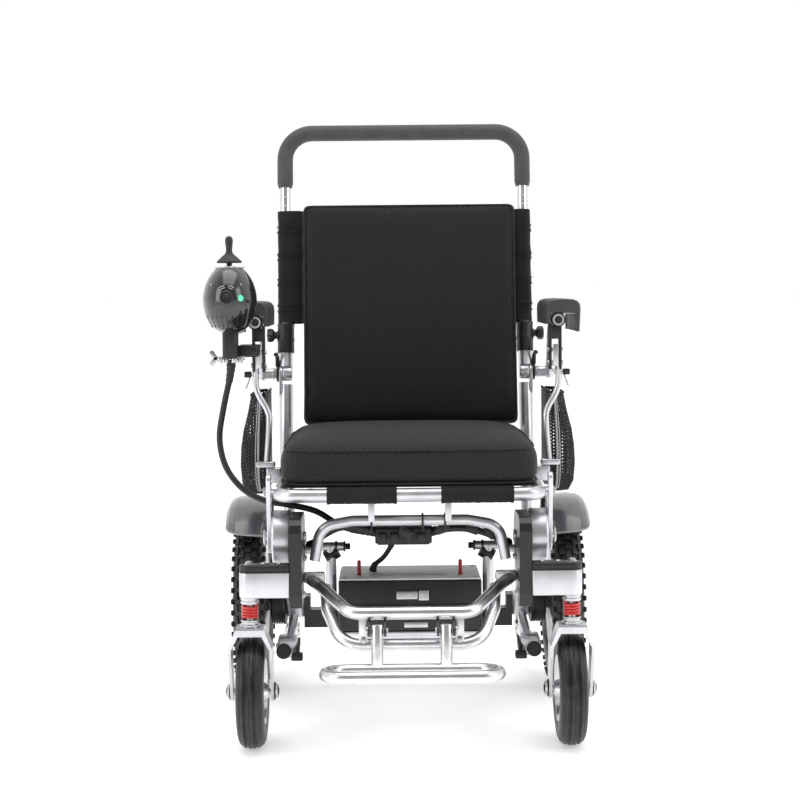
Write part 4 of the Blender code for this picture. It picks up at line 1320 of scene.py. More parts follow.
@dataclass
class DriveWheel(Sided):
    """A rear wheel with its block tread, motor and mudguard."""

    x: float = 0.278
    y: float = 0.18
    z: float = 0.159
    pitches: int = 46
    guard_front: float = 44.0
    guard_rear: float = 70.0

    def tyre(self) -> None:
        """The carcass and its rows of blocks."""
        centre = (self.x, self.y, self.z)
        half = [(0.0, 0.1548), (0.009, 0.1542), (0.016, 0.1518), (0.0215, 0.1475), (0.0255, 0.14),
                (0.0275, 0.13), (0.0272, 0.121), (0.025, 0.112), (0.0215, 0.1062), (0.0205, 0.1036)]
        form = Form().lathe(mirrored(half), centre, ALONG_X, 120, ring=True)
        step = 2 * math.pi / self.pitches
        rows = [
            (0.0, 0.0, 0.1568, (0.009, 0.0125, 0.0046), 0.0),
            (0.0105, 0.5, 0.1556, (0.008, 0.012, 0.005), 14.0),
            (-0.0105, 0.5, 0.1556, (0.008, 0.012, 0.005), -14.0),
            (0.019, 0.0, 0.1508, (0.0075, 0.013, 0.0052), 38.0),
            (-0.019, 0.0, 0.1508, (0.0075, 0.013, 0.0052), -38.0),
            (0.0252, 0.5, 0.141, (0.0052, 0.009, 0.009), 66.0),
            (-0.0252, 0.5, 0.141, (0.0052, 0.009, 0.009), -66.0),
        ]
        for across, shift, reach, size, tilt in rows:
            for i in range(self.pitches):
                angle = (i + shift) * step
                y, z = self.y + reach * math.sin(angle), self.z + reach * math.cos(angle)
                middle = Vector((self.x + across, y, z))
                turn = Matrix.Rotation(-angle, 4, "X") @ Matrix.Rotation(math.radians(tilt), 4, "Y")
                half_size = Vector(size) / 2
                form.box(middle - half_size, middle + half_size, 0.0009, 1, turn)
        self.hang(form, "block_tyre", TYRE, self.name("rear_wheel"), "tyre", "rear_tyre", 32)

    def rim(self) -> None:
        """The barrel, spokes and drum."""
        centre = (self.x, self.y, self.z)
        half = [(0.0, 0.09), (0.008, 0.0905), (0.014, 0.094), (0.019, 0.0975), (0.0215, 0.101),
                (0.0205, 0.1032), (0.015, 0.103)]
        form = Form().lathe(mirrored(half), centre, ALONG_X, 120, ring=True)
        form.lathe([(-0.029, 0.007), (-0.029, 0.02), (-0.024, 0.024), (-0.02, 0.058), (-0.017, 0.064),
                    (0.017, 0.064), (0.02, 0.058), (0.022, 0.026), (0.029, 0.021), (0.029, 0.007)],
                   centre, ALONG_X, 72, ring=True)
        for i in range(6):
            outline = spoke((self.y, self.z), math.radians(90 + 60 * i), 0.055, 0.0945, 0.0135, 0.0085)
            form.prism(outline, 0, self.x - 0.0105, self.x + 0.0105, 0.0028, 3)
        self.hang(form, "spoked_rim", WHEEL_ALLOY, self.name("rear_wheel"), "rim", "rear_rim")
        bolts = Form()
        for i in range(6):
            a = math.radians(60 * i)
            spot = (self.x + 0.0205, self.y + 0.046 * math.cos(a), self.z + 0.046 * math.sin(a))
            socket_screw(bolts, spot, ALONG_X, 0.0038, 0.0026)
        self.hang(bolts, "drum_screws", STEEL, self.name("rear_wheel"), "steel")

    def motor(self) -> None:
        """The finned motor, its axle and nut."""
        profile = [(0.0, 0.0), (0.0, 0.04), (0.002, 0.0455)]
        for i in range(5):
            start = 0.004 + i * 0.0044
            fin = ((0.0, 0.046), (0.0022, 0.046), (0.0026, 0.0432), (0.004, 0.0432))
            profile += [(start + along, radius) for along, radius in fin]
        profile += [(0.027, 0.0455), (0.0287, 0.041), (0.0287, 0.0)]
        form = Form().lathe(profile, (0.2178, self.y, self.z), ALONG_X, 72)
        form.rod((0.24, self.y, self.z), (0.309, self.y, self.z), 0.006)
        self.hang(form, "motor_case", BLACK_PAINT, "rear_section", "satin_black", "motor")
        nut = Form()
        hex_bolt(nut, (0.3088, self.y, self.z), ALONG_X, 0.0095, 0.0068)
        self.hang(nut, "axle_nut_rear", STEEL, "rear_section", "steel")

    def guard_point(self, share: float, angle: float) -> Vector:
        """A point on the mudguard.

        Args:
            share: From the inner edge, 0, to the outer edge, 1.
            angle: Degrees behind the vertical.

        Returns:
            The point, on the left side.
        """
        section = [(0.1815, 0.2465), (0.1838, 0.254), (0.1862, 0.27), (0.1868, 0.288), (0.185, 0.304),
                   (0.18, 0.3135), (0.1745, 0.3172), (0.169, 0.318)]
        reach, x = part_way(section, share)
        droop = 0.004 * max(0.0, (abs(angle) - 36) / 34)
        rise = 15.0 * max(0.0, (share - 0.3) / 0.7) ** 2.2 * max(0.0, -angle / self.guard_front) ** 3
        rise -= 9.0 * max(0.0, (share - 0.45) / 0.55) ** 2.2 * max(0.0, angle / self.guard_rear) ** 3
        a = math.radians(angle + rise)
        return Vector((x, self.y + (reach - droop) * math.sin(a), self.z + (reach - droop) * math.cos(a)))

    def mudguard(self) -> None:
        """The arched shell, its rolled edge, its stay and its bolt."""
        span = self.guard_front + self.guard_rear
        shell = Form().surface(
            lambda s, t: self.guard_point(s, -self.guard_front + span * t), 28, 72, 0.0024)
        self.hang(shell, "guard_shell", GREY_SHELL, "rear_section", "grey_plastic", "mudguard", 45)
        edge = [self.guard_point(i / 24, -self.guard_front) for i in range(25)]
        edge += [self.guard_point(1.0, -self.guard_front + span * i / 48) for i in range(1, 49)]
        edge += [self.guard_point(1 - i / 24, self.guard_rear) for i in range(1, 25)]
        bead = Form().sweep(edge, 0.0019, 12)
        self.hang(bead, "guard_bead", PALE_SHELL, "rear_section", "grey_plastic")
        stay = Form().prism([(0.172, 0.2058), (0.188, 0.2058), (0.188, 0.3415), (0.172, 0.3415)], 0,
                            0.24, 0.2475, 0.0014)
        hex_bolt(stay, (0.244, 0.18, 0.343), (0, 0.02, 1), 0.004, 0.003)
        self.hang(stay, "guard_stay", BLACK_PAINT, "rear_section", "satin_black")

    def build(self) -> None:
        """Wheel, motor and mudguard."""
        self.tyre()
        self.rim()
        self.motor()
        self.mudguard()


@dataclass
class RearLeg(Sided):
    """The forged rear leg with its anti-tip tube, roller and foot lever."""

    stations: tuple = ((-0.215, 0.325, 0.043), (-0.15, 0.318, 0.034), (-0.05, 0.288, 0.027),
                       (0.07, 0.228, 0.026), (0.18, 0.159, 0.034))
    roller_at: Point = (0.221, 0.43, 0.06)

    def leg(self) -> None:
        """The leg, its struts, the forged block and the tube."""
        form = Form().prism(limb(self.stations, 14), 0, 0.1875, 0.217, 0.004, 4)
        inset = [(y, z, w - 0.011) for y, z, w in self.stations]
        form.prism(limb(inset, 10), 0, 0.216, 0.2176, 0.0006, 2)
        form.sweep([(0.2025, 0.168, 0.142), (0.207, 0.148, 0.116), (0.212, 0.128, 0.092)], 0.007)
        form.sweep([(0.2025, 0.192, 0.142), (0.21, 0.23, 0.098), (0.217, 0.262, 0.062)], 0.007)
        form.box((0.198, 0.1, 0.0665), (0.232, 0.15, 0.101), 0.005, 4)
        form.rod((0.221, 0.098, 0.079), (0.221, 0.396, 0.06), 0.0125, 0.001, 40)
        for inner, outer in ((0.2067, 0.2102), (0.2318, 0.2353)):
            form.prism(limb([(0.384, 0.06, 0.0095), (0.432, 0.06, 0.0095)]), 0, inner, outer, 0.0006)
        form.rod((0.206, 0.43, 0.06), (0.236, 0.43, 0.06), 0.003)
        self.hang(form, "leg_forging", SILVER, "rear_section", "satin_silver", "rear_leg")
        profile = [(0, 0), (0, 0.0118), (0.0012, 0.0132), (0.007, 0.0132), (0.009, 0.0126), (0.009, 0)]
        cap = Form().lathe(profile, (0.221, 0.0925, 0.0794), (0, 1, -0.064), 40)
        self.hang(cap, "tube_cap", BLACK_PLASTIC, "rear_section", "black_plastic")
        bolts = Form()
        for x, y, z in ((0.217, 0.18, 0.159), (0.2176, -0.05, 0.288), (0.232, 0.125, 0.084)):
            hex_bolt(bolts, (x - 0.0006, y, z), ALONG_X, 0.0058, 0.004)
        self.hang(bolts, "leg_bolts", STEEL, "rear_section", "steel")

    def roller(self) -> None:
        """The anti-tip roller."""
        form = Form().lathe([(-0.0085, 0.0035), (-0.0085, 0.024), (-0.007, 0.0285), (-0.003, 0.03),
                             (0.003, 0.03), (0.007, 0.0285), (0.0085, 0.024), (0.0085, 0.0035)],
                            self.roller_at, ALONG_X, 64, ring=True)
        self.hang(form, "roller_tyre", TYRE, self.name("anti_tip"), "tyre", "anti_tip_wheel")
        hub = Form().lathe([(-0.0094, 0.0034), (-0.0094, 0.01), (-0.0084, 0.0165), (0.0084, 0.0165),
                            (0.0094, 0.01), (0.0094, 0.0034)], self.roller_at, ALONG_X, 48, ring=True)
        self.hang(hub, "roller_hub", BLACK_PLASTIC, self.name("anti_tip"), "black_plastic")

    def lever(self) -> None:
        """The freewheel's foot lever with its ribbed pad."""
        form = Form().prism(limb([(0.084, 0.075, 0.006), (0.128, 0.09, 0.008)]), 0, 0.1925, 0.197, 0.001)
        form.box((0.186, 0.063, 0.0685), (0.206, 0.0875, 0.0785), 0.0022, 3)
        for i in range(5):
            form.box((0.1868, 0.0655 + i * 0.0044, 0.078), (0.2052, 0.0673 + i * 0.0044, 0.0802), 0.0005, 1)
        self.hang(form, "foot_lever", BLACK_PLASTIC, self.name("freewheel"), "black_plastic",
                  "freewheel_lever")

    def build(self) -> None:
        """Leg, roller and lever."""
        self.leg()
        self.roller()
        self.lever()


@dataclass
class SidePlate(Sided):
    """A black hinge plate between the seat frame and the rear leg."""

    def build(self) -> None:
        """Bolts, the fold pin's cap and a stiffening rib on the plate."""
        rib = Form().prism(limb([(-0.284, 0.24, 0.006), (-0.284, 0.345, 0.006), (-0.2, 0.347, 0.006)]), 0,
                           0.1866, 0.1886, 0.0007)
        self.hang(rib, "plate_rib", BLACK_PAINT, "frame", "satin_black")
        bolts = Form()
        for y, z in ((-0.215, 0.325), (-0.284, 0.245), (-0.252, 0.24), (-0.205, 0.29)):
            hex_bolt(bolts, (0.1681, y, z), (-1, 0, 0), 0.0055, 0.0038)
        self.hang(bolts, "plate_bolts", STEEL, "frame", "steel")
        profile = [(0, 0), (0, 0.0105), (0.0015, 0.012), (0.003, 0.0105), (0.0036, 0.004), (0.0036, 0)]
        cap = Form().lathe(profile, (0.2286, -0.215, 0.325), ALONG_X, 36)
        self.hang(cap, "pin_cap", STEEL, "frame", "steel")


@dataclass
class SeatFrame:
    """The seat's tubes, brackets, uprights and fabric-wrapped front tube."""

    front: float = -0.262
    level: float = 0.396
    half: float = 0.205
    tube: float = 0.011
    wraps: tuple = ((-0.129, -0.02), (0.049, 0.162))

    def tubes(self) -> None:
        """Every silver tube and bracket in one welded piece."""
        form = Form()
        ring = [(-self.half, 0.18, self.level), (-self.half, self.front, self.level),
                (self.half, self.front, self.level), (self.half, 0.18, self.level)]
        form.sweep(rounded_path(ring, 0.03), self.tube, 32)
        form.rod((-0.205, 0.12, 0.396), (0.205, 0.12, 0.396), 0.009)
        low = [(-0.15, -0.245, 0.292), (-0.14, -0.245, 0.345), (-0.09, -0.245, 0.354),
               (0.09, -0.245, 0.354), (0.14, -0.245, 0.345), (0.15, -0.245, 0.292)]
        form.sweep(rounded_path(low, 0.03), 0.0085, 28)
        for s in (1, -1):
            self.half_frame(form, s)
        fit(form, "seat_tubes", SILVER, "frame", ["seat_frame"])

    def half_frame(self, form: Form, s: int) -> None:
        """One side's upright, flat bar, strut, gusset and stubs.

        Args:
            form: The form that they join.
            s: 1 for the left and -1 for the right.
        """
        form.rod(leaned(s * 0.216, 0, -0.172), leaned(s * 0.216, 0, -0.02), 0.0125, 0.001, 40)
        x0, x1 = sorted((s * 0.2225, s * 0.2283))
        base, tip = leaned(0, 0, -0.03), leaned(0, 0, 0.0)
        form.prism(limb([(base.y, base.z, 0.0125), (tip.y, tip.z, 0.0135)], 12), 0, x0, x1, 0.001)
        x0, x1 = sorted((s * 0.2176, s * 0.225))
        form.prism(limb([(-0.215, 0.312, 0.012), (-0.236, 0.418, 0.009)], 12), 0, x0, x1, 0.0014, 3)
        form.rod((s * 0.205, -0.235, 0.402), (s * 0.224, -0.235, 0.402), 0.006)
        form.sweep([(s * 0.205, 0.06, 0.39), (s * 0.205, 0.053, 0.333), (s * 0.205, 0.046, 0.276)], 0.009)
        x0, x1 = sorted((s * 0.055, s * 0.065))
        form.prism([(-0.262, 0.354), (-0.242, 0.352), (-0.242, 0.39), (-0.262, 0.39)], 0, x0, x1, 0.0012)
        x0, x1 = sorted((s * 0.212, s * 0.2365))
        form.box((x0, -0.059, 0.394), (x1, -0.041, 0.4195), 0.0025, 3)
        x0, x1 = sorted((s * 0.146, s * 0.197))
        form.box((x0, -0.256, 0.3935), (x1, -0.23, 0.4035), 0.002, 3)
        for k in range(2):
            spot = 0.16 + 0.022 * k
            form.rod((s * spot, -0.2585, 0.3985), (s * spot, -0.2275, 0.3985), 0.0042, 0.0008)

    def wrapped(self) -> None:
        """The stitched fabric sleeves round the front tube, with their hems."""
        for i, (start, end) in enumerate(self.wraps):
            steps = 48
            path = [(start + (end - start) * k / steps, self.front, self.level) for k in range(steps + 1)]
            fold = [noise.noise((k * 0.35, i * 7.0, 0.2)) * 0.0006 for k in range(steps + 1)]
            form = Form().sweep(path, lambda t: 0.0134 + fold[round(t * steps)], 32)
            form.sweep([(start, self.front, self.level), (start + 0.004, self.front, self.level)], 0.0141, 32)
            form.sweep([(end - 0.004, self.front, self.level), (end, self.front, self.level)], 0.0141, 32)
            fit(form, f"tube_wrap_{i}", CANVAS, "frame")

    def sling(self) -> None:
        """The seat's stretched canvas."""
        def place(s: float, t: float) -> Vector:
            """A point of the canvas, a little lower in its middle."""
            sag = 0.0009 * math.sin(math.pi * s) * math.sin(math.pi * t)
            return Vector((-0.196 + 0.392 * s, -0.256 + 0.406 * t, 0.4092 - sag))

        sling = fit(Form().surface(place, 32, 32, 0.0016), "seat_canvas", CANVAS, "frame",
                    ["seat_sling"])

    def hardware(self) -> None:
        """Bolt heads and end caps."""
        bolts = Form()
        for s in (1, -1):
            hex_bolt(bolts, (s * 0.225, -0.218, 0.327), (s, 0, 0), 0.0062, 0.0042)
            hex_bolt(bolts, (s * 0.225, -0.232, 0.398), (s, 0, 0), 0.0058, 0.0042)
            for x in (0.155, 0.186):
                socket_screw(bolts, (s * x, -0.243, 0.4032), ALONG_Z, 0.0036, 0.002)
            pin = leaned(s * 0.228, 0, 0)
            hex_bolt(bolts, pin, (s, 0, 0), 0.007, 0.0032)
        fit(bolts, "seat_bolts", STEEL, "frame")
        caps = Form()
        for s in (1, -1):
            caps.rod((s * self.half, 0.1785, self.level), (s * self.half, 0.186, self.level), 0.0118, 0.003)
        fit(caps, "seat_end_caps", BLACK_PLASTIC, "frame")

    def build(self) -> None:
        """Tubes, wraps, canvas and hardware."""
        self.tubes()
        self.wrapped()
        self.sling()
        self.hardware()


def quilted(
    half: tuple[float, float],
    profile: Profile,
    place: Callable[[float, float, float], Vector],
    crown: float,
    waist: float = 0.01,
    square: float = 9.0,
    steps: int = 168,
) -> Form:
    """A stuffed form: rings run up its side and across its crowned top.

    Args:
        half: Half its width and half its depth.
        profile: How far each ring is inset from the edge, and its height.
        place: Takes the form's own x, y and height to the chair's frame.
        crown: How much the middle of the top stands over its edge.
        waist: How far the sides pull in between the corners, as a share.
        square: How square its corners are.
        steps: Points round each ring.

    Returns:
        The closed form.
    """
    form = Form()
    part = form.mesh
    top = max(height for _, height in profile)
    outline = square_ring(steps, square, 0.5)
    rings = []
    for inset, height in profile:
        ring = []
        for ux, uy in outline:
            x = ux * max(0.0, half[0] - inset) * (1 - waist * (1 - uy * uy))
            y = uy * max(0.0, half[1] - inset) * (1 - waist * (1 - ux * ux))
            rise = 0.0
            if height >= top - 0.012:
                rise = crown * (1 - (x / half[0]) ** 4) * (1 - (y / half[1]) ** 4)
                rise += 0.0006 * noise.noise((x * 16, y * 16, 2.0))
            pull = 0.0008 * noise.noise((x * 28, y * 28, height * 60))
            ring.append(part.verts.new(place(x * (1 + pull), y * (1 + pull), height + rise)))
        rings.append(ring)
    for low, high in zip(rings, rings[1:]):
        for i in range(steps):
            j = (i + 1) % steps
            part.faces.new((low[i], low[j], high[j], high[i]))
    part.faces.new(rings[0][::-1])
    part.faces.new(rings[-1])
    bmesh.ops.recalc_face_normals(part, faces=part.faces)
    return form


def inflate(
    piece: bpy.types.Object, voxel: float, cap: float, pressure: float = 4.0, frames: int = 20
) -> None:
    """Swell a padded piece with a short cloth run and keep the result.

    Args:
        piece: The padded piece, whose mesh is changed.
        voxel: The remesh's step, in metres.
        cap: How far a point may move, in metres.
        pressure: The cloth's pressure.
        frames: How many frames it runs.
    """
    scene, layer = bpy.context.scene, bpy.context.view_layer

    def settled() -> bpy.types.Mesh:
        """The piece's mesh with its modifiers applied."""
        layer.update()
        return bpy.data.meshes.new_from_object(piece.evaluated_get(bpy.context.evaluated_depsgraph_get()))

    remesh = piece.modifiers.new("remesh", "REMESH")
    remesh.mode, remesh.voxel_size, remesh.use_smooth_shade = "VOXEL", voxel, True
    start = settled()
    piece.modifiers.clear()
    piece.data = start
    cloth = piece.modifiers.new("cloth", "CLOTH")
    cloth.settings.use_pressure = True
    cloth.settings.uniform_pressure_force = pressure
    cloth.settings.effector_weights.gravity = 0.0
    cloth.settings.tension_stiffness = cloth.settings.compression_stiffness = 20.0
    cloth.point_cache.frame_end = frames
    for frame in range(1, frames + 1):
        scene.frame_set(frame)
    swollen = settled()
    piece.modifiers.clear()
    for before, after in zip(start.vertices, swollen.vertices):
        move = after.co - before.co
        if move.length > cap:
            move *= cap / move.length
        before.co += move
    scene.frame_set(1)
    smooth = piece.modifiers.new("finer", "SUBSURF")
    smooth.levels = smooth.render_levels = 1
    piece.data = settled()
    piece.modifiers.clear()
    piece.data.shade_smooth()


@dataclass
class Cushion:
    """The boxed seat cushion with its piping and stitching."""

    half: tuple = (0.2085, 0.201)
    centre_y: float = -0.0675
    base: float = 0.4102

    def place(self, x: float, y: float, z: float) -> Vector:
        """A point of the cushion in the chair's frame."""
        front = max(0.0, -y / self.half[1])
        return Vector((x, self.centre_y + y, self.base + z - 0.0035 * front**3 * (z > 0.03)))

    def build(self) -> None:
        """The stuffed form, then its piping and stitches."""
        profile = [(0.2, 0.0), (0.15, 0.0), (0.08, 0.0), (0.03, 0.0), (0.014, 0.0006), (0.0065, 0.003),
                   (0.0024, 0.008), (0.0006, 0.015), (0.0, 0.023), (0.0, 0.031), (0.0004, 0.039),
                   (0.0018, 0.046), (0.0048, 0.0525), (0.0095, 0.057), (0.012, 0.0584), (0.016, 0.0602),
                   (0.024, 0.0618), (0.036, 0.0628), (0.055, 0.0633), (0.08, 0.0635), (0.11, 0.0635),
                   (0.145, 0.0635), (0.18, 0.0635), (0.2, 0.0635)]
        cushion = fit(quilted(self.half, profile, self.place, 0.013), "seat_cushion_cover", NET, "frame",
                      ["seat_cushion"], 60)
        inflate(cushion, 0.005, 0.004)
        for label, inset, height in (("top", 0.0094, 0.0572), ("base", 0.005, 0.003)):
            ring = [self.place(ux * (self.half[0] - inset) * (1 - 0.01 * (1 - uy * uy)),
                               uy * (self.half[1] - inset) * (1 - 0.01 * (1 - ux * ux)), height)
                    for ux, uy in square_ring(160, 9)]
            piping = Form().sweep(ring, 0.0019, 10, closed=True)
            fit(piping, f"cushion_piping_{label}", PIPING, "frame")
        stitch = Form()
        for z in (0.4275, 0.434):
            for k in range(12):
                start = Vector((-0.194 + k * 0.0052, -0.2694, z))
                stitch.sweep([start, start + Vector((0.004, -0.0002, 0))], 0.0007, 8)
        fit(stitch, "cushion_stitches", PIPING, "frame")


@dataclass
class Backrest:
    """The back pad, its fabric sleeves, the tubes, clamps and knobs."""

    centre_x: float = 0.00825
    tube_x: float = 0.216
    centre_up: float = 0.1025
    half: tuple = (0.194, 0.202)

    def place(self, x: float, y: float, z: float) -> Vector:
        """A point of the pad: z stands towards the sitter."""
        return leaned(self.centre_x + x, -0.016 - z, self.centre_up + y)

    def pad(self) -> None:
        """The quilted pad with its piping and hem."""
        profile = [(0.19, 0.0), (0.12, 0.0), (0.05, 0.0), (0.012, 0.0003), (0.004, 0.002), (0.001, 0.006),
                   (0.0, 0.011), (0.0006, 0.017), (0.0022, 0.0205), (0.005, 0.0226), (0.0075, 0.0222),
                   (0.011, 0.024), (0.02, 0.0258), (0.04, 0.0268), (0.07, 0.0272), (0.11, 0.0272),
                   (0.15, 0.0272), (0.19, 0.0272)]
        form = quilted(self.half, profile, self.place, 0.0025, 0.003, 40.0, 240)
        pad = fit(form, "back_cushion", BACK_NET, "backrest", ["back_pad"], 60)
        inflate(pad, 0.005, 0.003, 3.0)
        inset = 0.0068
        ring = [self.place(ux * (self.half[0] - inset), uy * (self.half[1] - inset), 0.0226)
                for ux, uy in square_ring(200, 40)]
        fit(Form().sweep(ring, 0.0019, 10, closed=True), "back_piping", PIPING, "backrest")
        hem = Form()
        for up in (0.178, 0.183):
            for k in range(72):
                x = -0.18 + k * 0.005
                hem.sweep([self.place(x, up, 0.0268), self.place(x + 0.0034, up, 0.0268)], 0.0007, 6)
        fit(hem, "back_hem_stitches", PIPING, "backrest")

    def sleeve(self, side: Side) -> None:
        """The fabric sleeve round a tube, with strap folds.

        Args:
            side: The tube's side.
        """
        label = side.label
        wide = 0.0235 if side is Side.RIGHT else 0.017
        middle = 0.2062 if side is Side.RIGHT else 0.212

        def place(s: float, t: float) -> Vector:
            """A point of the sleeve.

            Args:
                s: The share of the way round it.
                t: The share of the way up it.

            Returns:
                The point.
            """
            up = 0.092 + 0.203 * t
            strap = 0.0009 * sum(math.exp(-(((t - m) / 0.012) ** 2)) for m in (0.16, 0.36, 0.6, 0.82))
            fold = 0.0011 * noise.noise((s * 5, t * 9, 4.0 + side.value)) + strap
            ux, uy = round_square(2 * math.pi * s, 0.55, 0.75)
            return leaned(side.x(middle) + ux * (wide + fold), -0.0012 + uy * (0.014 + fold), up)

        form = Form().surface(place, 64, 90, 0.0012)
        fit(form, f"tube_sleeve_{label}", CANVAS, "backrest", sharp=60)
        straps = Form()
        for up in (0.118, 0.166, 0.212, 0.262):
            spots = (round_square(2 * math.pi * i / 48, 0.55, 0.75) for i in range(48))
            loop = [leaned(side.x(middle) + ux * (wide + 0.0013), -0.0012 + uy * 0.0153, up)
                    for ux, uy in spots]
            for lift in (-0.005, 0.005):
                straps.sweep([p + Vector((0, 0, lift)) for p in loop], 0.0008, 6, closed=True)
        fit(straps, f"sleeve_stitching_{label}", PIPING, "backrest")

    def tubes(self, side: Side) -> None:
        """The hinge hub, the lower tube, the clamp and its knob.

        Args:
            side: The tube's side.
        """
        label, s = side.label, side.value
        low, high = leaned(s * self.tube_x, 0, 0.012), leaned(s * self.tube_x, 0, 0.09)
        form = Form().rod(low, high, 0.0125, 0.001, 40)
        form.rod((s * 0.2045, HINGE_Y, HINGE_Z), (s * 0.222, HINGE_Y, HINGE_Z), 0.0135, 0.0015, 40)
        fit(form, f"lower_tube_{label}", SILVER, "backrest", [f"back_tube_{label}"])
        clamp = Form()
        base = leaned(s * self.tube_x, 0, 0.037)
        way = (leaned(0, 0, 1) - leaned(0, 0, 0)).normalized()
        clamp.lathe([(0, 0.0126), (0, 0.0146), (0.0015, 0.0153), (0.02, 0.015), (0.022, 0.0158),
                     (0.026, 0.0158), (0.028, 0.015), (0.049, 0.015), (0.052, 0.0158), (0.0535, 0.015),
                     (0.0535, 0.0126)],
                    base, way, 48, ring=True)
        clamp.rod(leaned(s * 0.228, 0, 0.07), leaned(s * 0.233, 0, 0.07), 0.008, 0.001)
        fit(clamp, f"clamp_body_{label}", BLACK_PLASTIC, "backrest",
            [f"clamp_sleeve_{label}"])
        centre = Vector((s * 0.2325, 0.21595, 0.63314))
        knob = Form().lathe([(0, 0), (0, 0.006), (0.0035, 0.007), (0.006, 0.011), (0.0085, 0.0128),
                             (0.015, 0.0128), (0.0172, 0.0112), (0.0175, 0.0)], centre, (s, 0, 0), 90,
                            wobble=lambda a: 0.9 + 0.1 * math.cos(5 * a))
        fit(knob, f"star_knob_{label}", BLACK_PLASTIC, f"knob_{label}",
            [f"clamp_knob_{label}"])
        cap = Form()
        socket_screw(cap, centre + Vector((s * 0.0172, 0, 0)), (s, 0, 0), 0.004, 0.0012)
        fit(cap, f"knob_screw_{label}", STEEL, f"knob_{label}")

    def build(self) -> None:
        """Pad, sleeves and tubes."""
        self.pad()
        for side in Side:
            self.sleeve(side)
            self.tubes(side)


@dataclass
class PushBar:
    """The sliding push bar and its foam grip."""

    half: float = 0.216
    top: float = 0.441
    grip_from: float = 0.34
    tube: float = 0.0098
    grip: float = 0.0143

    def route(self, start: float) -> list[Vector]:
        """The bar's middle line.

        Args:
            start: How far up the back both its ends are.

        Returns:
            The line's points.
        """
        corners = [leaned(-self.half, 0, start), leaned(-self.half, 0, self.top),
                   leaned(self.half, 0, self.top), leaned(self.half, 0, start)]
        return rounded_path(corners, 0.055, 16)

    def build(self) -> None:
        """The bar, the grip and the buttons in its holes."""
        bar = Form().sweep(self.route(0.023), self.tube, 32)
        fit(bar, "push_tube", BRIGHT, "push_handle", ["push_bar"])
        path = self.route(self.grip_from)
        fine = [a.lerp(b, k / 6) for a, b in zip(path, path[1:]) for k in range(6)] + [path[-1]]
        grip = Form().sweep(fine, lambda t: self.grip - 0.0022 * max(0.0, 1 - min(t, 1 - t) / 0.004), 36)
        fit(grip, "grip_sleeve", GRIP_FOAM, "push_handle", ["push_grip"])
        holes = Form()
        for s in (1, -1):
            for k in range(2):
                spot = leaned(s * self.half, -0.0094, 0.308 + 0.016 * k)
                holes.rod(spot, spot + Vector((0, -0.001, 0)), 0.0028, 0.0003, 20)
        fit(holes, "push_bar_buttons", STEEL, "push_handle")


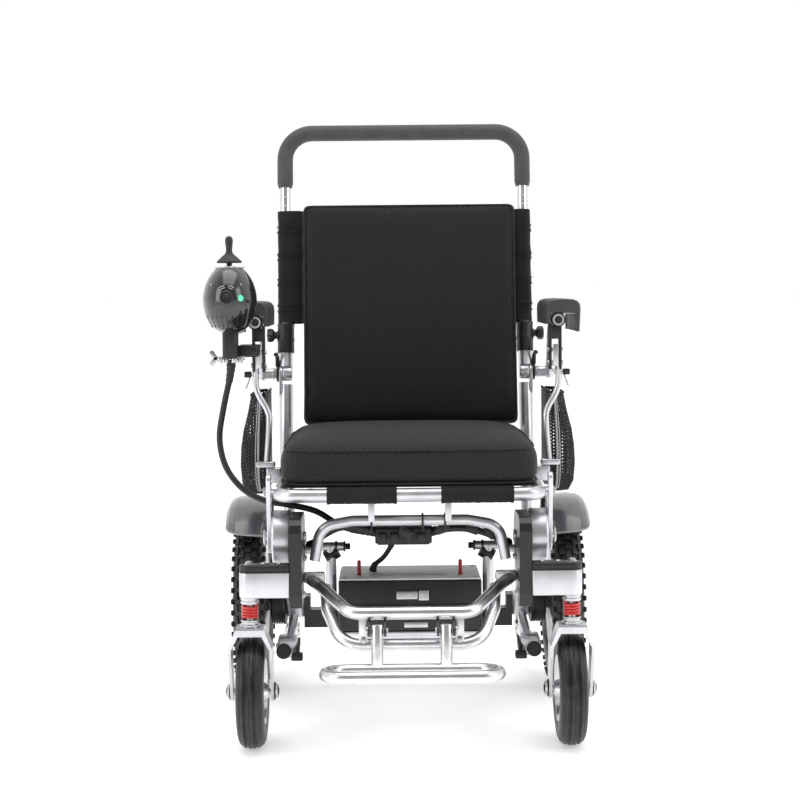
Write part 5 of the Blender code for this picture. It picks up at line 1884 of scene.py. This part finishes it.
@dataclass
class Arm(Sided):
    """An arm: rail, rear plate, clevis, post, pad and side pocket."""

    rail_x: float = 0.252
    rail_z: float = 0.662

    def pad_section(self, shrink: float) -> list[tuple[float, float]]:
        """The pad's section in X and Z, as an open channel.

        Args:
            shrink: Its width as a share of the full width.

        Returns:
            The section's points.
        """
        outer = [(0.2305, 0.655), (0.23, 0.68), (0.2312, 0.688), (0.235, 0.693), (0.242, 0.6958),
                 (0.26, 0.6968), (0.278, 0.6958), (0.285, 0.693), (0.289, 0.688), (0.2902, 0.68),
                 (0.2885, 0.642)]
        inner = [(0.284, 0.642), (0.284, 0.674), (0.2345, 0.674), (0.2345, 0.655)]
        middle, low = 0.26, 0.674
        drop = 0.35 + 0.65 * shrink
        section = [(x, low + (z - low) * drop if z > low else z) for x, z in outer] + inner
        return [(middle + (x - middle) * shrink, z) for x, z in section]

    def pad(self) -> None:
        """The moulded pad with rounded ends."""
        form = Form()
        part = form.mesh
        stations = [(-0.056, 0.88), (-0.0548, 0.92), (-0.052, 0.955), (-0.047, 0.985), (-0.04, 1.0),
                    (0.0375, 1.0), (0.115, 1.0), (0.122, 0.985), (0.127, 0.955), (0.1295, 0.92),
                    (0.1305, 0.88)]
        rings = [[part.verts.new((x, y, z)) for x, z in self.pad_section(k)] for y, k in stations]
        count = len(rings[0])
        for a, b in zip(rings, rings[1:]):
            for i in range(count):
                part.faces.new((a[i], a[(i + 1) % count], b[(i + 1) % count], b[i]))
        part.faces.new(rings[0])
        part.faces.new(rings[-1])
        bmesh.ops.recalc_face_normals(part, faces=part.faces)
        pad = self.hang(form, "pad_top", PAD_SKIN, f"arm_{self.side.label}", "arm_pad", "arm_pad", 40)
        under = Form().box((0.2355, -0.048, 0.6712), (0.2832, 0.124, 0.6738), 0.001)
        self.hang(under, "pad_base", PAD_UNDERSIDE, f"arm_{self.side.label}", "grey_plastic")

    def frame(self) -> None:
        """The metal parts and the black clevis."""
        body = f"arm_{self.side.label}"
        x, z = self.rail_x, self.rail_z
        form = Form().rod((x, -0.05, z), (x, 0.15, z), 0.011, 0.0015, 36)
        form.prism(limb([(0.14, 0.66, 0.009), (0.176, 0.618, 0.009), (HINGE_Y, HINGE_Z, 0.0125)], 12), 0,
                   0.2522, 0.262, 0.002, 3)
        form.rod((0.229, HINGE_Y, HINGE_Z), (0.267, HINGE_Y, HINGE_Z), 0.01, 0.0012, 36)
        post = smooth_path([(0.252, -0.04, 0.6), (0.252, -0.04, 0.551), (0.234, -0.046, 0.515),
                            (0.231, -0.05, 0.492), (0.236, -0.05, 0.424)], 0.005)
        form.sweep(post, 0.0052, 24)
        form.box((0.222, -0.061, 0.4205), (0.253, -0.039, 0.4298), 0.002, 3)
        self.hang(form, "arm_metal", SILVER, body, "satin_silver", "arm_frame")
        black = Form().box((0.237, -0.0505, 0.579), (0.2412, -0.026, 0.656), 0.0016, 3)
        black.box((0.2538, -0.0505, 0.579), (0.258, -0.026, 0.656), 0.0016, 3)
        black.box((0.238, -0.05, 0.63), (0.257, -0.027, 0.652), 0.0016, 3)
        black.lathe([(0, 0), (0, 0.0105), (0.002, 0.0122), (0.01, 0.0122), (0.012, 0.011), (0.012, 0)],
                    (self.rail_x, -0.0545, self.rail_z), ALONG_Y, 40)
        black.rod((0.229, HINGE_Y, HINGE_Z), (0.2328, HINGE_Y, HINGE_Z), 0.015, 0.001, 36)
        lever = smooth_path([(0.231, 0.205, 0.578), (0.231, 0.196, 0.592), (0.232, 0.183, 0.6),
                             (0.233, 0.166, 0.6)], 0.004)
        black.sweep(lever, lambda t: 0.0042 - 0.0012 * t, 16)
        black.box((0.26, -0.045, 0.57), (0.272, -0.033, 0.58), 0.002, 3)
        self.hang(black, "arm_clevis", BLACK_PLASTIC, body, "black_plastic")
        bright = Form()
        ring = [(0, 0.0118), (0, 0.013), (0.0024, 0.013), (0.0024, 0.0118)]
        bright.lathe(ring, (x, -0.043, z), ALONG_Y, 40, ring=True)
        washer = [(0, 0.0065), (0, 0.0095), (0.0012, 0.0095), (0.0012, 0.0065)]
        bright.lathe(washer, (x, -0.056, z), ALONG_Y, 40, ring=True)
        bright.rod((0.2345, -0.0385, 0.59), (0.261, -0.0385, 0.59), 0.004)
        bright.rod((0.2345, -0.0385, 0.612), (0.261, -0.0385, 0.612), 0.0034)
        bright.box((0.243, -0.0525, 0.585), (0.252, -0.05, 0.622), 0.001)
        bright.rod((0.26, -0.039, 0.576), (0.27, -0.039, 0.552), 0.0016, 0.0004, 12)
        for x in (0.2385, 0.2585):
            bright.rod((x - 0.0012, HINGE_Y, HINGE_Z), (x + 0.0012, HINGE_Y, HINGE_Z), 0.0112, 0.0006, 36)
        hex_bolt(bright, (0.2665, HINGE_Y, HINGE_Z), ALONG_X, 0.006, 0.0036)
        self.hang(bright, "arm_fittings", STEEL, body, "steel")

    def pocket(self) -> None:
        """The net pocket, its flat inner net, its end gusset and its piped edges."""
        body = f"arm_{self.side.label}"
        start, end = -0.036, 0.14

        def outer(s: float, t: float) -> Vector:
            """A point of the bulging outer net.

            Args:
                s: The share of the way along the chair.
                t: The share of the way up.

            Returns:
                The point.
            """
            section = [(0.2405, 0.3725), (0.256, 0.3722), (0.2715, 0.374), (0.28, 0.39), (0.2825, 0.42),
                       (0.2815, 0.45), (0.278, 0.478), (0.27, 0.508), (0.2635, 0.539)]
            x, z = part_way(section, t)
            ends = min(1.0, min(s, 1 - s) / 0.1)
            ends = ends * ends * (3 - 2 * ends)
            sag = 0.0014 * noise.noise((s * 4.0, t * 5.0, 1.0)) * ends
            corner = 0.012 * (1 - ends) * (t < 0.45) * (1 - t / 0.45)
            x = 0.2405 + (x - 0.2405) * (0.25 + 0.75 * ends) + sag
            return Vector((x, start + (end - start) * s, z + corner))

        def inner(s: float, t: float) -> Vector:
            """The flat inner net beside the seat."""
            return Vector((0.2398, start + (end - start) * s, 0.3735 + 0.167 * t))

        net = Form().surface(outer, 44, 40, 0.001).surface(inner, 12, 12, 0.001)
        self.hang(net, "pocket_net", POCKET_NET, body, "mesh_fabric", "side_pocket", 60)
        edge = [outer(i / 24, 1.0) for i in range(25)]
        front = [outer(0.0, 1 - i / 20) for i in range(1, 21)]
        rear = [outer(1.0, 1 - i / 20) for i in range(21)]
        piping = Form().sweep(edge, 0.0022, 12).sweep(rear, 0.0019, 12)
        piping.sweep([inner(i / 8, 1.0) for i in range(9)], 0.002, 12)
        self.hang(piping, "pocket_binding", CANVAS, body, "fabric")
        pale = Form().sweep([edge[0], *front], 0.0018, 12)
        beside = [outer(0.02, 1 - i / 20) + Vector((0.0016, 0, 0)) for i in range(21)]
        pale.sweep(beside, 0.001, 10)
        self.hang(pale, "pocket_piping", PALE_PIPING, body, "fabric")
        gusset = Form().prism([(0.24, 0.376), (0.248, 0.3745), (0.25, 0.42), (0.249, 0.478),
                               (0.247, 0.538), (0.24, 0.539)], 1, start - 0.0004, start + 0.0008, 0.0003, 1)
        self.hang(gusset, "pocket_gusset", POCKET_NET, body, "mesh_fabric")

    def build(self) -> None:
        """Pad, metal and pocket."""
        self.pad()
        self.frame()
        self.pocket()


@dataclass
class Joystick:
    """The control pod on the right arm, its stick, boot, button and marks."""

    centre: Point = (-0.287, -0.125, 0.7025)
    pivot: Point = (-0.287, -0.125, 0.7537)
    size: Point = (0.0437, 0.065, 0.0575)

    def on_shell(self, x: float, z: float, lift: float = 0.0) -> Vector:
        """A point of the pod's front surface.

        Args:
            x: How far it is from the pod's centre along X.
            z: How far it is from the centre along Z.
            lift: How far outside the surface it is.

        Returns:
            The point.
        """
        a, b, c = (s + lift for s in self.size)
        inside = max(0.02, 1 - (x / a) ** 2 - (z / c) ** 2)
        return Vector(self.centre) + Vector((x, -b * math.sqrt(inside), z))

    def housing(self) -> None:
        """The egg-shaped shell with its seam and dish."""
        form = Form()
        part = form.mesh
        bmesh.ops.create_uvsphere(part, u_segments=72, v_segments=48, radius=1.0)
        for v in part.verts:
            p = v.co.copy()
            narrow = 1.0 - 0.07 * max(0.0, p.z) + 0.16 * max(0.0, -p.z) ** 2
            dish = max(0.0, 1 - (math.hypot(p.x, p.y) / 0.5) ** 4)
            height = min(p.z, 0.9) - 0.19 * dish * (p.z > 0)
            seam = 1.0 - 0.01 * math.exp(-(((p.z + 0.36) / 0.03) ** 2))
            v.co = Vector(self.centre) + Vector((p.x * self.size[0] * narrow * seam,
                                                 p.y * self.size[1] * narrow * seam, height * self.size[2]))
        fit(form, "pod_shell", GLOSS_PLASTIC, "arm_right", ["joystick_housing"], 50)
        x, y, _ = self.centre
        lower = Form().box((x - 0.012, y - 0.018, 0.605), (x + 0.012, y + 0.018, 0.66), 0.005, 4)
        lower.box((-0.279, -0.115, 0.607), (-0.244, -0.03, 0.6255), 0.003, 3)
        fit(lower, "pod_neck", BLACK_PLASTIC, "arm_right")
        metal = Form()
        for dx, sides in ((-0.016, 24), (-0.006, 6), (0.006, 24), (0.016, 6)):
            metal.rod((x + dx, y - 0.012, 0.599), (x + dx, y - 0.012, 0.6075), 0.004, 0.0008, sides)
        metal.rod((x - 0.024, y - 0.004, 0.606), (x + 0.023, y - 0.004, 0.606), 0.0034, 0.0005, 20)
        for z in (0.615, 0.5975):
            wing = limb([(x - 0.03, z, 0.004), (x - 0.024, 0.606, 0.0034)])
            metal.prism(wing, 1, y - 0.008, y - 0.001, 0.0008)
        fit(metal, "pod_clamp", STEEL, "arm_right")

    def marks(self) -> None:
        """Ribs, plain indicator arcs, the lamp and the button's ring."""
        ribs = Form()
        for k in range(9):
            x = (k - 4) * 0.0084
            low, high = self.on_shell(x * 0.8, -0.045, 0.0022), self.on_shell(x * 0.98, -0.027, 0.0012)
            ribs.sweep([low, low.lerp(high, 0.5) + Vector((0, -0.001, 0)), high], 0.0013, 10)
        fit(ribs, "pod_ribs", BLACK_PLASTIC, "arm_right")
        marks = Form()
        for reach in (0.015, 0.0185):
            for start in (50, 100):
                turns = (math.radians(a) for a in range(start, start + 31, 6))
                arc = [self.on_shell(reach * math.cos(a), 0.0031 + reach * math.sin(a), 0.0002)
                       for a in turns]
                marks.sweep(arc, 0.0006, 8)
        for x in (-0.025, 0.0225):
            spot = self.on_shell(x, 0.023, 0.0)
            marks.rod(spot + Vector((0, 0.001, 0)), spot + Vector((0, -0.0006, 0)), 0.0014, 0.0003, 16)
        fit(marks, "pod_marks", MARKING, "arm_right")
        spot = self.on_shell(0.0215, 0.001)
        lamp = Form().lathe([(0, 0), (0, 0.0046), (0.001, 0.0044), (0.0018, 0.003), (0.0021, 0)],
                            spot + Vector((0, 0.0006, 0)), (0.28, -1, -0.05), 32)
        fit(lamp, "pod_lamp", GREEN_LAMP, "arm_right")
        centre = self.on_shell(0.0, 0.0031)
        profile = [(0, 0.008), (-0.002, 0.0105), (0.0006, 0.0106), (0.0018, 0.0096), (0.0012, 0.0082)]
        ring = Form().lathe(profile, centre, (0, -1, 0), 48, ring=True)
        fit(ring, "button_ring", BLACK_PLASTIC, "arm_right")

    def button(self) -> None:
        """The pressed button with a plain dished face."""
        profile = [(0, 0), (0, 0.0076), (0.0085, 0.0076), (0.0098, 0.0068), (0.0092, 0.004), (0.0088, 0)]
        form = Form().lathe(profile, (-0.287, -0.182, 0.7056), (0, -1, 0), 40)
        fit(form, "button_cap", BLACK_PLASTIC, "button", ["power_button"])

    def stick(self) -> None:
        """The stick's knob and its rubber boot."""
        x, y, z = self.pivot
        profile = [(0.05, 0.0), (0.0497, 0.0026), (0.048, 0.0048), (0.0455, 0.006), (0.042, 0.0064),
                   (0.036, 0.0058), (0.029, 0.005), (0.024, 0.0054), (0.0215, 0.0066), (0.0195, 0.0086),
                   (0.0175, 0.0112), (0.015, 0.014), (0.0125, 0.0166), (0.01, 0.0192), (0.0086, 0.0206),
                   (0.0074, 0.0205), (0.0064, 0.0192), (0.0064, 0.0045), (-0.005, 0.004), (-0.006, 0.0)]
        form = Form().lathe([(h, r) for h, r in profile[::-1]], (x, y, z), ALONG_Z, 64)
        fit(form, "stick_and_boot", BOOT, "joystick", ["joystick_stick"], 60)
        rim = Form().lathe([(0, 0.0228), (0, 0.0252), (0.001, 0.0256), (0.002, 0.0248), (0.002, 0.023)],
                           (x, y, 0.752), ALONG_Z, 64, ring=True)
        fit(rim, "boot_rim", MARKING, "arm_right")

    def build(self) -> None:
        """Housing, marks, button and stick."""
        self.housing()
        self.marks()
        self.button()
        self.stick()


@dataclass
class Cable:
    """One cable that goes from one part of the chair into another."""

    name: str
    radius: float
    spacing: float
    route: tuple
    node: str | None = None
    boot_length: float = 0.024

    def build(self) -> None:
        """The cable as one curve, with a tapered boot at its start."""
        path = smooth_path(self.route, self.spacing)
        data = bpy.data.curves.new(self.name, "CURVE")
        data.dimensions = "3D"
        data.bevel_depth = self.radius
        data.bevel_resolution = 6
        data.use_fill_caps = True
        spline = data.splines.new("POLY")
        spline.points.add(len(path) - 1)
        for spot, here in zip(spline.points, path):
            spot.co = (*here, 1.0)
        spline.use_smooth = True
        cable = bpy.data.objects.new(self.name, data)
        bpy.context.scene.collection.objects.link(cable)
        fit(cable, self.name, CABLE_JACKET, "frame", [self.node] if self.node else [])
        for label, ends in (("entry", path), ("exit", path[::-1])):
            boot = Form()
            out, reach = [ends[0]], 0.0
            for here in ends[1:]:
                reach += (here - out[-1]).length
                out.append(here)
                if reach > self.boot_length:
                    break
            fine = [a.lerp(b, k / 8) for a, b in zip(out, out[1:]) for k in range(8)] + [out[-1]]
            grown = self.radius
            boot.sweep(fine, lambda t: grown * (1.55 - 0.5 * t + 0.1 * (math.sin(t * 30) > 0)), 20)
            fit(boot, f"{self.name}_boot_{label}", BOOT, "frame")
        long = sum((b - a).length for a, b in zip(path, path[1:]))
        log.info("%s is %.3f m long", self.name, long)


@dataclass
class Power:
    """The battery in its cradle and the controller box."""

    hoop_y: float = -0.12
    plunger_z: float = 0.296

    def battery(self) -> None:
        """The case, the pale lid, the latch and the two red pins."""
        case = Form().box((-0.115, -0.19, 0.168), (0.115, -0.053, 0.2515), 0.005, 4)
        case.box((-0.106, -0.1912, 0.176), (-0.004, -0.189, 0.212), 0.0008, 2)
        case.box((0.004, -0.1912, 0.176), (0.106, -0.189, 0.212), 0.0008, 2)
        fit(case, "battery_case", BATTERY_BLACK, "battery_pack", ["battery"])
        lid = Form().box((-0.113, -0.188, 0.249), (0.113, -0.055, 0.2535), 0.0018, 4)
        lid.box((-0.06, -0.16, 0.2525), (0.06, -0.085, 0.2545), 0.001, 2)
        fit(lid, "battery_top", LID_WHITE, "battery_pack")
        latch = Form().box((-0.022, -0.194, 0.22), (0.012, -0.1885, 0.233), 0.0012, 2)
        latch.box((0.0135, -0.1945, 0.218), (0.03, -0.1885, 0.2345), 0.0012, 2)
        latch.box((-0.01, -0.1925, 0.174), (0.028, -0.19, 0.183), 0.0008, 2)
        for x in (-0.105, 0.105):
            for y in (-0.178, -0.066):
                socket_screw(latch, (x, y, 0.2532), ALONG_Z, 0.003, 0.0014)
        fit(latch, "battery_latch", STEEL, "battery_pack")
        pins = Form()
        for x in (-0.082, 0.082):
            pins.lathe([(0, 0), (0, 0.0052), (0.002, 0.0046), (0.0035, 0.0031), (0.0235, 0.0031),
                        (0.0255, 0.0024), (0.0262, 0)], (x, -0.15, 0.2515), ALONG_Z, 28)
        fit(pins, "battery_pins", PIN_RED, "battery_pack")

    def cradle(self) -> None:
        """The hoop, the tray, the plungers and their black nuts."""
        y, z = self.hoop_y, self.plunger_z
        hoop = [(-0.128, y, z), (-0.128, y, 0.134), (0.128, y, 0.134), (0.128, y, z)]
        form = Form().sweep(rounded_path(hoop, 0.046, 14), 0.0085, 28)
        form.box((-0.112, -0.187, 0.16), (0.112, -0.056, 0.1668), 0.002, 2)
        form.box((-0.08, -0.132, 0.1345), (0.08, -0.108, 0.1625), 0.003, 3)
        for s in (1, -1):
            form.rod((s * 0.104, y, z), (s * 0.15, y, z), 0.0072, 0.001)
            link = [(s * 0.14, y, z), (s * 0.152, y, z), (s * 0.152, -0.19, 0.3),
                    (s * 0.1677, -0.19, 0.3)]
            form.sweep(rounded_path(link, 0.008, 6), 0.0065, 24)
        fit(form, "cradle_hoop", SILVER, "frame", ["battery_cradle"])
        nuts = Form()
        for s in (1, -1):
            nuts.rod((s * 0.0965, y, z), (s * 0.105, y, z), 0.0056, 0.001, 6)
            nuts.rod((s * 0.1045, y, z), (s * 0.1075, y, z), 0.0086, 0.0006)
            nuts.rod((s * 0.118, y, z), (s * 0.1215, y, z), 0.0092, 0.0008)
            way = Vector((s * 0.02, 0.0, -0.012))
            spot = Vector((s * 0.127, -0.118, 0.283))
            nuts.rod(spot - way * 0.5, spot + way * 0.5, 0.0112, 0.0014)
        fit(nuts, "cradle_nuts", BLACK_PAINT, "frame")
        bolts = Form()
        for s in (1, -1):
            hex_bolt(bolts, (s * 0.06, -0.1325, 0.148), (0, -1, 0), 0.005, 0.004)
            hex_bolt(bolts, (s * 0.03, -0.12, 0.1352), (0, 0, -1), 0.004, 0.01)
        fit(bolts, "cradle_bolts", STEEL, "frame")

    def controller(self) -> None:
        """The finned controller box with its plugs, ties and connectors."""
        form = Form().box((-0.055, -0.222, 0.3135), (0.035, -0.13, 0.3395), 0.003, 3)
        for k in range(9):
            y = -0.216 + k * 0.0098
            form.box((-0.051, y, 0.3112), (0.031, y + 0.0036, 0.315), 0.0006, 1)
        for x in (-0.044, -0.024, -0.002, 0.018):
            form.box((x - 0.0065, -0.231, 0.318), (x + 0.0065, -0.2215, 0.331), 0.0014, 2)
        fit(form, "controller_case", BLACK_PLASTIC, "frame", ["controller_box"])
        plugs = Form()
        connectors = ((-0.006, -0.236, 0.333, 24), (0.052, -0.222, 0.338, -30), (0.098, -0.214, 0.335, 18),
                      (0.126, -0.207, 0.328, 40), (-0.088, -0.205, 0.341, -14))
        for x, y, z, turn in connectors:
            rot = Matrix.Rotation(math.radians(turn), 4, "Y")
            plugs.box((x - 0.011, y - 0.006, z - 0.0065), (x + 0.011, y + 0.006, z + 0.0065), 0.0018, 2, rot)
        for x, y, z in ((-0.06, -0.244, 0.352), (0.02, -0.245, 0.354), (0.055, -0.245, 0.354)):
            ring = [(x, y + 0.0105 * math.cos(a), z - 0.004 + 0.0145 * math.sin(a))
                    for a in (2 * math.pi * i / 28 for i in range(28))]
            plugs.sweep(ring, 0.0016, 8, closed=True)
        fit(plugs, "loom_plugs", BLACK_PLASTIC, "frame")

    def build(self) -> None:
        """Battery, cradle and controller."""
        self.battery()
        self.cradle()
        self.controller()


@dataclass
class Footrest:
    """The two hoops of the footrest and its folding plate."""

    upper_tube: float = 0.0098
    lower_tube: float = 0.0092

    def hoops(self) -> None:
        """The polished hoops, their blocks and their links."""
        form = Form()
        upper = [(-0.16, -0.236, 0.264), (-0.14, -0.256, 0.252), (-0.093, -0.345, 0.2255),
                 (0.093, -0.345, 0.2255), (0.14, -0.256, 0.252), (0.16, -0.236, 0.264)]
        lower = [(-0.133, -0.25, 0.25), (-0.13, -0.285, 0.22), (-0.105, -0.34, 0.176),
                 (0.105, -0.34, 0.176), (0.13, -0.285, 0.22), (0.133, -0.25, 0.25)]
        form.sweep(rounded_path(upper, 0.03, 12), self.upper_tube, 32)
        form.sweep(rounded_path(lower, 0.045, 12), self.lower_tube, 32)
        for s in (1, -1):
            x0, x1 = sorted((s * 0.134, s * 0.1677))
            form.box((x0, -0.246, 0.2555), (x1, -0.226, 0.2725), 0.004, 3)
            x0, x1 = sorted((s * 0.066, s * 0.08))
            form.box((x0, -0.347, 0.176), (x1, -0.341, 0.224), 0.0012, 2)
        fit(form, "footrest_hoops", BRIGHT, "frame", ["footrest_frame"])
        black = Form()
        for s in (1, -1):
            for inner, outer in ((0.038, 0.042), (0.062, 0.066)):
                x0, x1 = sorted((s * inner, s * outer))
                black.prism([(-0.348, 0.19), (-0.348, 0.217), (-0.362, 0.213), (-0.371, 0.205), (-0.371, 0.2),
                             (-0.362, 0.193)], 0, x0, x1, 0.0008, 2)
            # Painted shade: a small black disc on each upper hoop stands in for the dark inside of a hole; it
            # is not a real part.
            spot = Vector((s * 0.133, -0.2745, 0.249))
            black.rod(spot, spot + Vector((s * 0.0008, -0.003, 0.0012)), 0.003, 0.0003, 20)
        fit(black, "hinge_plates", BLACK_PAINT, "frame")
        pins = Form()
        for s in (1, -1):
            pins.rod((s * 0.0355, -0.364, 0.203), (s * 0.069, -0.364, 0.203), 0.0032, 0.0006, 24)
            pins.rod((s * 0.066, -0.364, 0.203), (s * 0.069, -0.364, 0.203), 0.0056, 0.0008, 24)
            hex_bolt(pins, (s * 0.073, -0.3478, 0.185), (0, -1, 0), 0.0038, 0.003)
            hex_bolt(pins, (s * 0.15, -0.2462, 0.264), (0, -1, 0), 0.0036, 0.0026)
        fit(pins, "footrest_bolts", STEEL, "frame")

    def plate(self) -> None:
        """The bright loop with its hangers."""
        loop = [(-0.128, -0.371, 0.144), (-0.13, -0.451, 0.1495),
                (0.13, -0.451, 0.1495), (0.128, -0.371, 0.144)]
        start = Vector((0.0, -0.371, 0.144))
        path = rounded_path([start, *loop, start], 0.034, 12)
        form = Form().sweep(path[:-1], self.lower_tube, 32, closed=True)
        for s in (1, -1):
            form.rod((s * 0.052, -0.364, 0.2115), (s * 0.052, -0.37, 0.144), self.lower_tube, 0.0016, 32)
        fit(form, "foot_loop", BRIGHT, "footplate_flap", ["footplate"])

    def build(self) -> None:
        """Hoops and plate."""
        self.hoops()
        self.plate()


def dress_frame(frame: dict) -> None:
    """Give each of the frame's own nodes its finish, by material slot.
    """
    for node in frame["nodes"].values():
        for place in node.material_slots:
            if place.material is None:
                continue
            name = place.material.name.split(".")[0]
            if name in NODE_FINISH:
                place.material = material_of(NODE_FINISH[name])


def cables() -> list[Cable]:
    """List the chair's cables.

    Returns:
        The joystick's, the battery's and the two motors'.
    """
    return [
        Cable(
            "control_cable", 0.005, 0.01,
            ((-0.286, -0.124, 0.603), (-0.289, -0.124, 0.575), (-0.3, -0.125, 0.525), (-0.307, -0.126, 0.475),
             (-0.296, -0.14, 0.43), (-0.268, -0.15, 0.395), (-0.232, -0.152, 0.376), (-0.195, -0.15, 0.369),
             (-0.15, -0.152, 0.358), (-0.105, -0.164, 0.333), (-0.057, -0.168, 0.326)),
            "joystick_cable", 0.03,
        ),
        Cable(
            "battery_lead", 0.004, 0.006,
            ((-0.029, -0.14, 0.3112), (-0.0295, -0.139, 0.3), (-0.042, -0.134, 0.28),
             (-0.0575, -0.129, 0.266), (-0.06, -0.128, 0.2556)),
            "battery_cable", 0.012,
        ),
        Cable(
            "motor_loom_left", 0.0055, 0.01,
            ((0.03, -0.205, 0.33), (0.046, -0.212, 0.3335), (0.075, -0.216, 0.337), (0.105, -0.212, 0.333),
             (0.13, -0.203, 0.3235), (0.148, -0.19, 0.313), (0.158, -0.17, 0.306)),
            None, 0.02,
        ),
        Cable(
            "motor_loom_right", 0.0055, 0.01,
            ((-0.05, -0.205, 0.33), (-0.066, -0.21, 0.335), (-0.09, -0.21, 0.34), (-0.115, -0.204, 0.337),
             (-0.138, -0.196, 0.324), (-0.152, -0.184, 0.311), (-0.16, -0.168, 0.304)),
            None, 0.02,
        ),
    ]


def main() -> None:
    """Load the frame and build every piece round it."""
    logging.basicConfig(level=logging.INFO, format="%(name)s: %(message)s", force=True)
    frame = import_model()
    dress_frame(frame)
    makers = [
        Studio(),
        *cables(),
        *(kind(side) for kind in (Caster, DriveWheel, RearLeg, SidePlate) for side in Side),
        SeatFrame(),
        Power(),
        Footrest(),
        Cushion(),
        Backrest(),
        PushBar(),
        *(Arm(side) for side in Side),
        Joystick(),
    ]
    for maker in makers:
        maker.build()
        log.info("built %s", type(maker).__name__)


if __name__ == "__main__":
    main()
